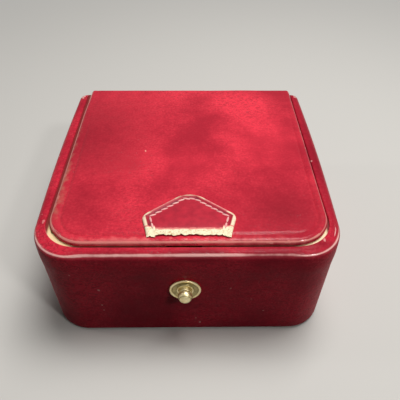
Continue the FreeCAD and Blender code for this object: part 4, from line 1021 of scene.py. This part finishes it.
PLATE_DISH, BUTTON_NECK = (2.56, 4.0), (1.7, 1.8)
PLATE = [(2.05, -40.2), (2.05, -43.88), (2.5, -43.88), (2.62, -43.3), (3.85, -43.5), (4.12, -43.9),
         (4.75, -43.9), (4.75, -43.25), (4.35, -43.0), (2.55, -43.0), (2.55, -40.2)]
PLATE_ROUNDS = ((1, 0.08, 2), (2, 0.1, 3), (3, 0.18, 3), (4, 0.15, 3), (5, 0.12, 3), (6, 0.28, 5), (7, 0.2, 4))
dished = mark_recess(turned(PLATE, PLATE_ROUNDS), *PLATE_DISH)
catch_plate = make_piece("catch_plate", dished, gilt_brass, "gilt_brass", "button_barrel", sharp=60)
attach(catch_plate, "case")
BUTTON = [(0, -47.7), (2.18, -47.7), (2.18, -45.3), (1.75, -45.2), (1.75, -45.0), (1.98, -44.85), (1.98, -41.8),
          (1.0, -41.8), (1.0, -37.5), (0, -37.5)]
BUTTON_ROUNDS = ((1, 2.0, 12), (2, 0.08, 3), (5, 0.12, 3))
domed = mark_recess(turned(BUTTON, BUTTON_ROUNDS), *BUTTON_NECK)
catch_button = make_piece("catch_button", domed, gilt_brass, "gilt_brass", "push_button", sharp=50)
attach(catch_button, "button")

# %% [markdown]
# ## The latch leaf
# Behind the button a leaf of spring brass is pinned at its foot, and its nose holds the strike under the lid.
# Pressing the button bends it back, so the strip has many rows.

# %% Latch leaf
leaf_low, leaf_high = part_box("latch_spring")
LEAF_THICK, LEAF_FOOT_TOP, LEAF_ROWS = 0.4 * MM, 12.5 * MM, 24
NOSE_WIDE, NOSE_FOOT, NOSE_TOP, NOSE_LIP = 2.6 * MM, 27.8 * MM, 29.4 * MM, 0.6 * MM
LEAF_ROUND, NOSE_ROUND = 0.07 * MM, 0.08 * MM
leaf_front, leaf_tall = leaf_high.y - LEAF_THICK, leaf_high.z - leaf_low.z

bm = block((leaf_high.x - leaf_low.x, LEAF_THICK, leaf_tall),
           (axis_x, leaf_high.y - LEAF_THICK / 2, leaf_low.z + leaf_tall / 2))
bevel(bm, bm.edges[:], LEAF_ROUND, 2)
for row in range(1, LEAF_ROWS):
    slice_at(bm, (0, 0, leaf_low.z + row / LEAF_ROWS * leaf_tall), (0, 0, 1))
nose = bmesh.ops.create_cube(bm, size=1.0)["verts"]
for vert in nose:
    at_tip, on_top = vert.co.y < 0, vert.co.z > 0
    vert.co.x = axis_x + vert.co.x * NOSE_WIDE
    vert.co.y = leaf_low.y if at_tip else leaf_front
    vert.co.z = NOSE_FOOT + ((NOSE_LIP if at_tip else NOSE_TOP - NOSE_FOOT) if on_top else 0.0)
sides = list({edge for vert in nose for edge in vert.link_edges})
bevel(bm, sides, NOSE_ROUND, 2)
bmesh.ops.recalc_face_normals(bm, faces=bm.faces[:])
catch_leaf = make_piece("catch_leaf", bm, spring_brass, "spring_brass", "latch_spring")
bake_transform(catch_leaf)

# %% [markdown]
# ## Boards and small brass that the model already has
# The boards, the pins, the washer and the strike have the right shape as solids, so they only get a finish:
# sawn limewood with fine growth rings and open pores, pressed millboard, and rolled brass. Rings are 1 to 2 mm
# apart; the pores are drawn at 0.35 mm, about four times the real size, so that the wood does not look like
# plastic.

# %% Wood and board
def wood_finish(name, dark, bright, ring, turn):
    """Make plain sawn wood: rings stretched along the grain, and open pores."""
    material, tree, place = new_finish(name)
    grain = add(tree, "Mapping", {"Vector": place, "Rotation": (0.0, 0.0, turn), "Scale": (0.12, 1.0, 1.0)})
    rings = add(tree, "TexNoise", {"Vector": grain, "Scale": 1 / (ring * MM), "Detail": 5.0, "Distortion": 0.5})
    pores = add(tree, "TexNoise", {"Vector": grain, "Scale": 1 / (0.35 * MM), "Detail": 2.0})
    share = add(tree, "Mix", [0.35, rings, pores])
    tone = add(tree, "MapRange", [share, 0.32, 0.66])
    colour = add(tree, "Mix", [tone, dark, bright], data_type="RGBA")
    rough = add(tree, "MapRange", [rings, 0.3, 0.7, 0.6, 0.8])
    sawn = add(tree, "Bump", {"Strength": 0.4, "Distance": 0.08 * MM, "Height": share})
    surface = add(tree, "BsdfPrincipled", {"Base Color": colour, "Roughness": rough, "IOR": 1.5,
                                           "Specular IOR Level": 0.25, "Normal": sawn})
    add(tree, "OutputMaterial", [surface])
    return material


limewood = wood_finish("limewood_sawn", "#a37a4c", "#c9a473", 2.2, 0.0)
liner_wood = wood_finish("limewood_sawn_thin", "#a98455", "#d2b081", 1.8, math.pi / 2)
millboard = wood_finish("millboard_pressed", "#7d6a50", "#9a866a", 1.1, 0.6)
shown = {
    limewood: ("base_board", "front_wall", "left_wall", "right_wall", "back_wall", "left_corner_post",
               "right_corner_post"),
    liner_wood: ("front_liner", "left_liner", "right_liner", "back_liner"),
    millboard: ("lid_board",),
    spring_brass: ("button_washer", "latch_pins", "strike_plate", "strike_pins"),
}
for finish, nodes in shown.items():
    for node in nodes:
        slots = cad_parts[node].data.materials
        slots.clear()
        slots.append(finish)
print("solids with a finish:", sum(len(nodes) for nodes in shown.values()))

# %% [markdown]
# ## The table
# The case stands on a plain pale table. The table and the room answer camera and mirror rays with their own pale
# colour but send little light on, so that the shaded front keeps its depth. Further off, where no lamp reaches,
# the table fades into the room like a sheet of studio paper.

# %% Table
def seen_directly(tree):
    """Return 1 for rays that come from the camera, a mirror or a glass, and 0 for those that carry light."""
    path = add(tree, "LightPath").node.outputs
    seen = add(tree, "Math", [path["Is Camera Ray"], path["Is Glossy Ray"]], operation="ADD")
    return add(tree, "Math", [seen, path["Is Transmission Ray"]], operation="ADD", use_clamp=True)


ROOM, ROOM_SEEN, TABLE_LIT, TABLE_SEEN = "#d8d6d2", 0.7, "#3a3836", "#cfccc6"
TABLE_HALF, PAPER_FROM, PAPER_TO = 1.6, 0.12, 0.5
bm = bmesh.new()
bmesh.ops.create_grid(bm, x_segments=8, y_segments=8, size=TABLE_HALF)
mesh = bpy.data.meshes.new("table")
bm.to_mesh(mesh)
bm.free()
table = bpy.data.objects.new("table", mesh)
bpy.context.scene.collection.objects.link(table)
material, tree, place = new_finish("table_painted")
seen = seen_directly(tree)
colour = add(tree, "Mix", [seen, TABLE_LIT, TABLE_SEEN], data_type="RGBA")
surface = add(tree, "BsdfPrincipled", {"Base Color": colour, "Roughness": 0.8, "Specular IOR Level": 0.1})
away = add(tree, "VectorMath", [place], output="Value", operation="LENGTH")
far = add(tree, "MapRange", [away, PAPER_FROM, PAPER_TO], interpolation_type="SMOOTHSTEP")
far = add(tree, "Math", [far, seen], operation="MULTIPLY")
paper = add(tree, "Emission", {"Color": ROOM, "Strength": ROOM_SEEN})
add(tree, "OutputMaterial", [add(tree, "MixShader", [far, surface, paper])])
mesh.materials.append(material)
print("table:", material.name)

# %% [markdown]
# ## The light
# A soft panel hangs over the case, so the lid is bright and the front is in shade. A small lamp at the right
# throws the button's shadow, and a narrow strip at the left draws a line along the left edges. The lamps are flat,
# because a flat lamp gives soft shadows and a clear shape to mirror.

# %% Light
ROOM_LIGHT, AIM = 0.03, Vector((0, 0, 0.03))


def lamp(name, place, wide, tall, power):
    """Hang a flat soft lamp that faces the case, with its sizes in metres and its power in watts."""
    made = bpy.data.objects.new(name, bpy.data.lights.new(name, "AREA"))
    made.data.shape = "RECTANGLE"
    made.data.size, made.data.size_y = wide, tall
    made.data.energy = power
    made.location = place
    made.rotation_euler = (AIM - Vector(place)).to_track_quat("-Z", "Y").to_euler()
    bpy.context.scene.collection.objects.link(made)


lamp("panel", (0.12, 0.08, 0.58), 0.3, 0.3, 3.4)
lamp("side_lamp", (0.24, -0.26, 0.38), 0.05, 0.05, 0.47)
lamp("left_strip", (-0.42, 0.04, 0.30), 0.03, 0.15, 0.15)
world = bpy.data.worlds.new("room")
world.use_nodes = True
tree = world.node_tree
tree.nodes.clear()
strength = add(tree, "MapRange", [seen_directly(tree), 0.0, 1.0, ROOM_LIGHT, ROOM_SEEN])
room = add(tree, "Background", {"Color": ROOM, "Strength": strength})
add(tree, "OutputWorld", [room])
bpy.context.scene.world = world
bpy.context.scene.view_settings.view_transform = "Standard"
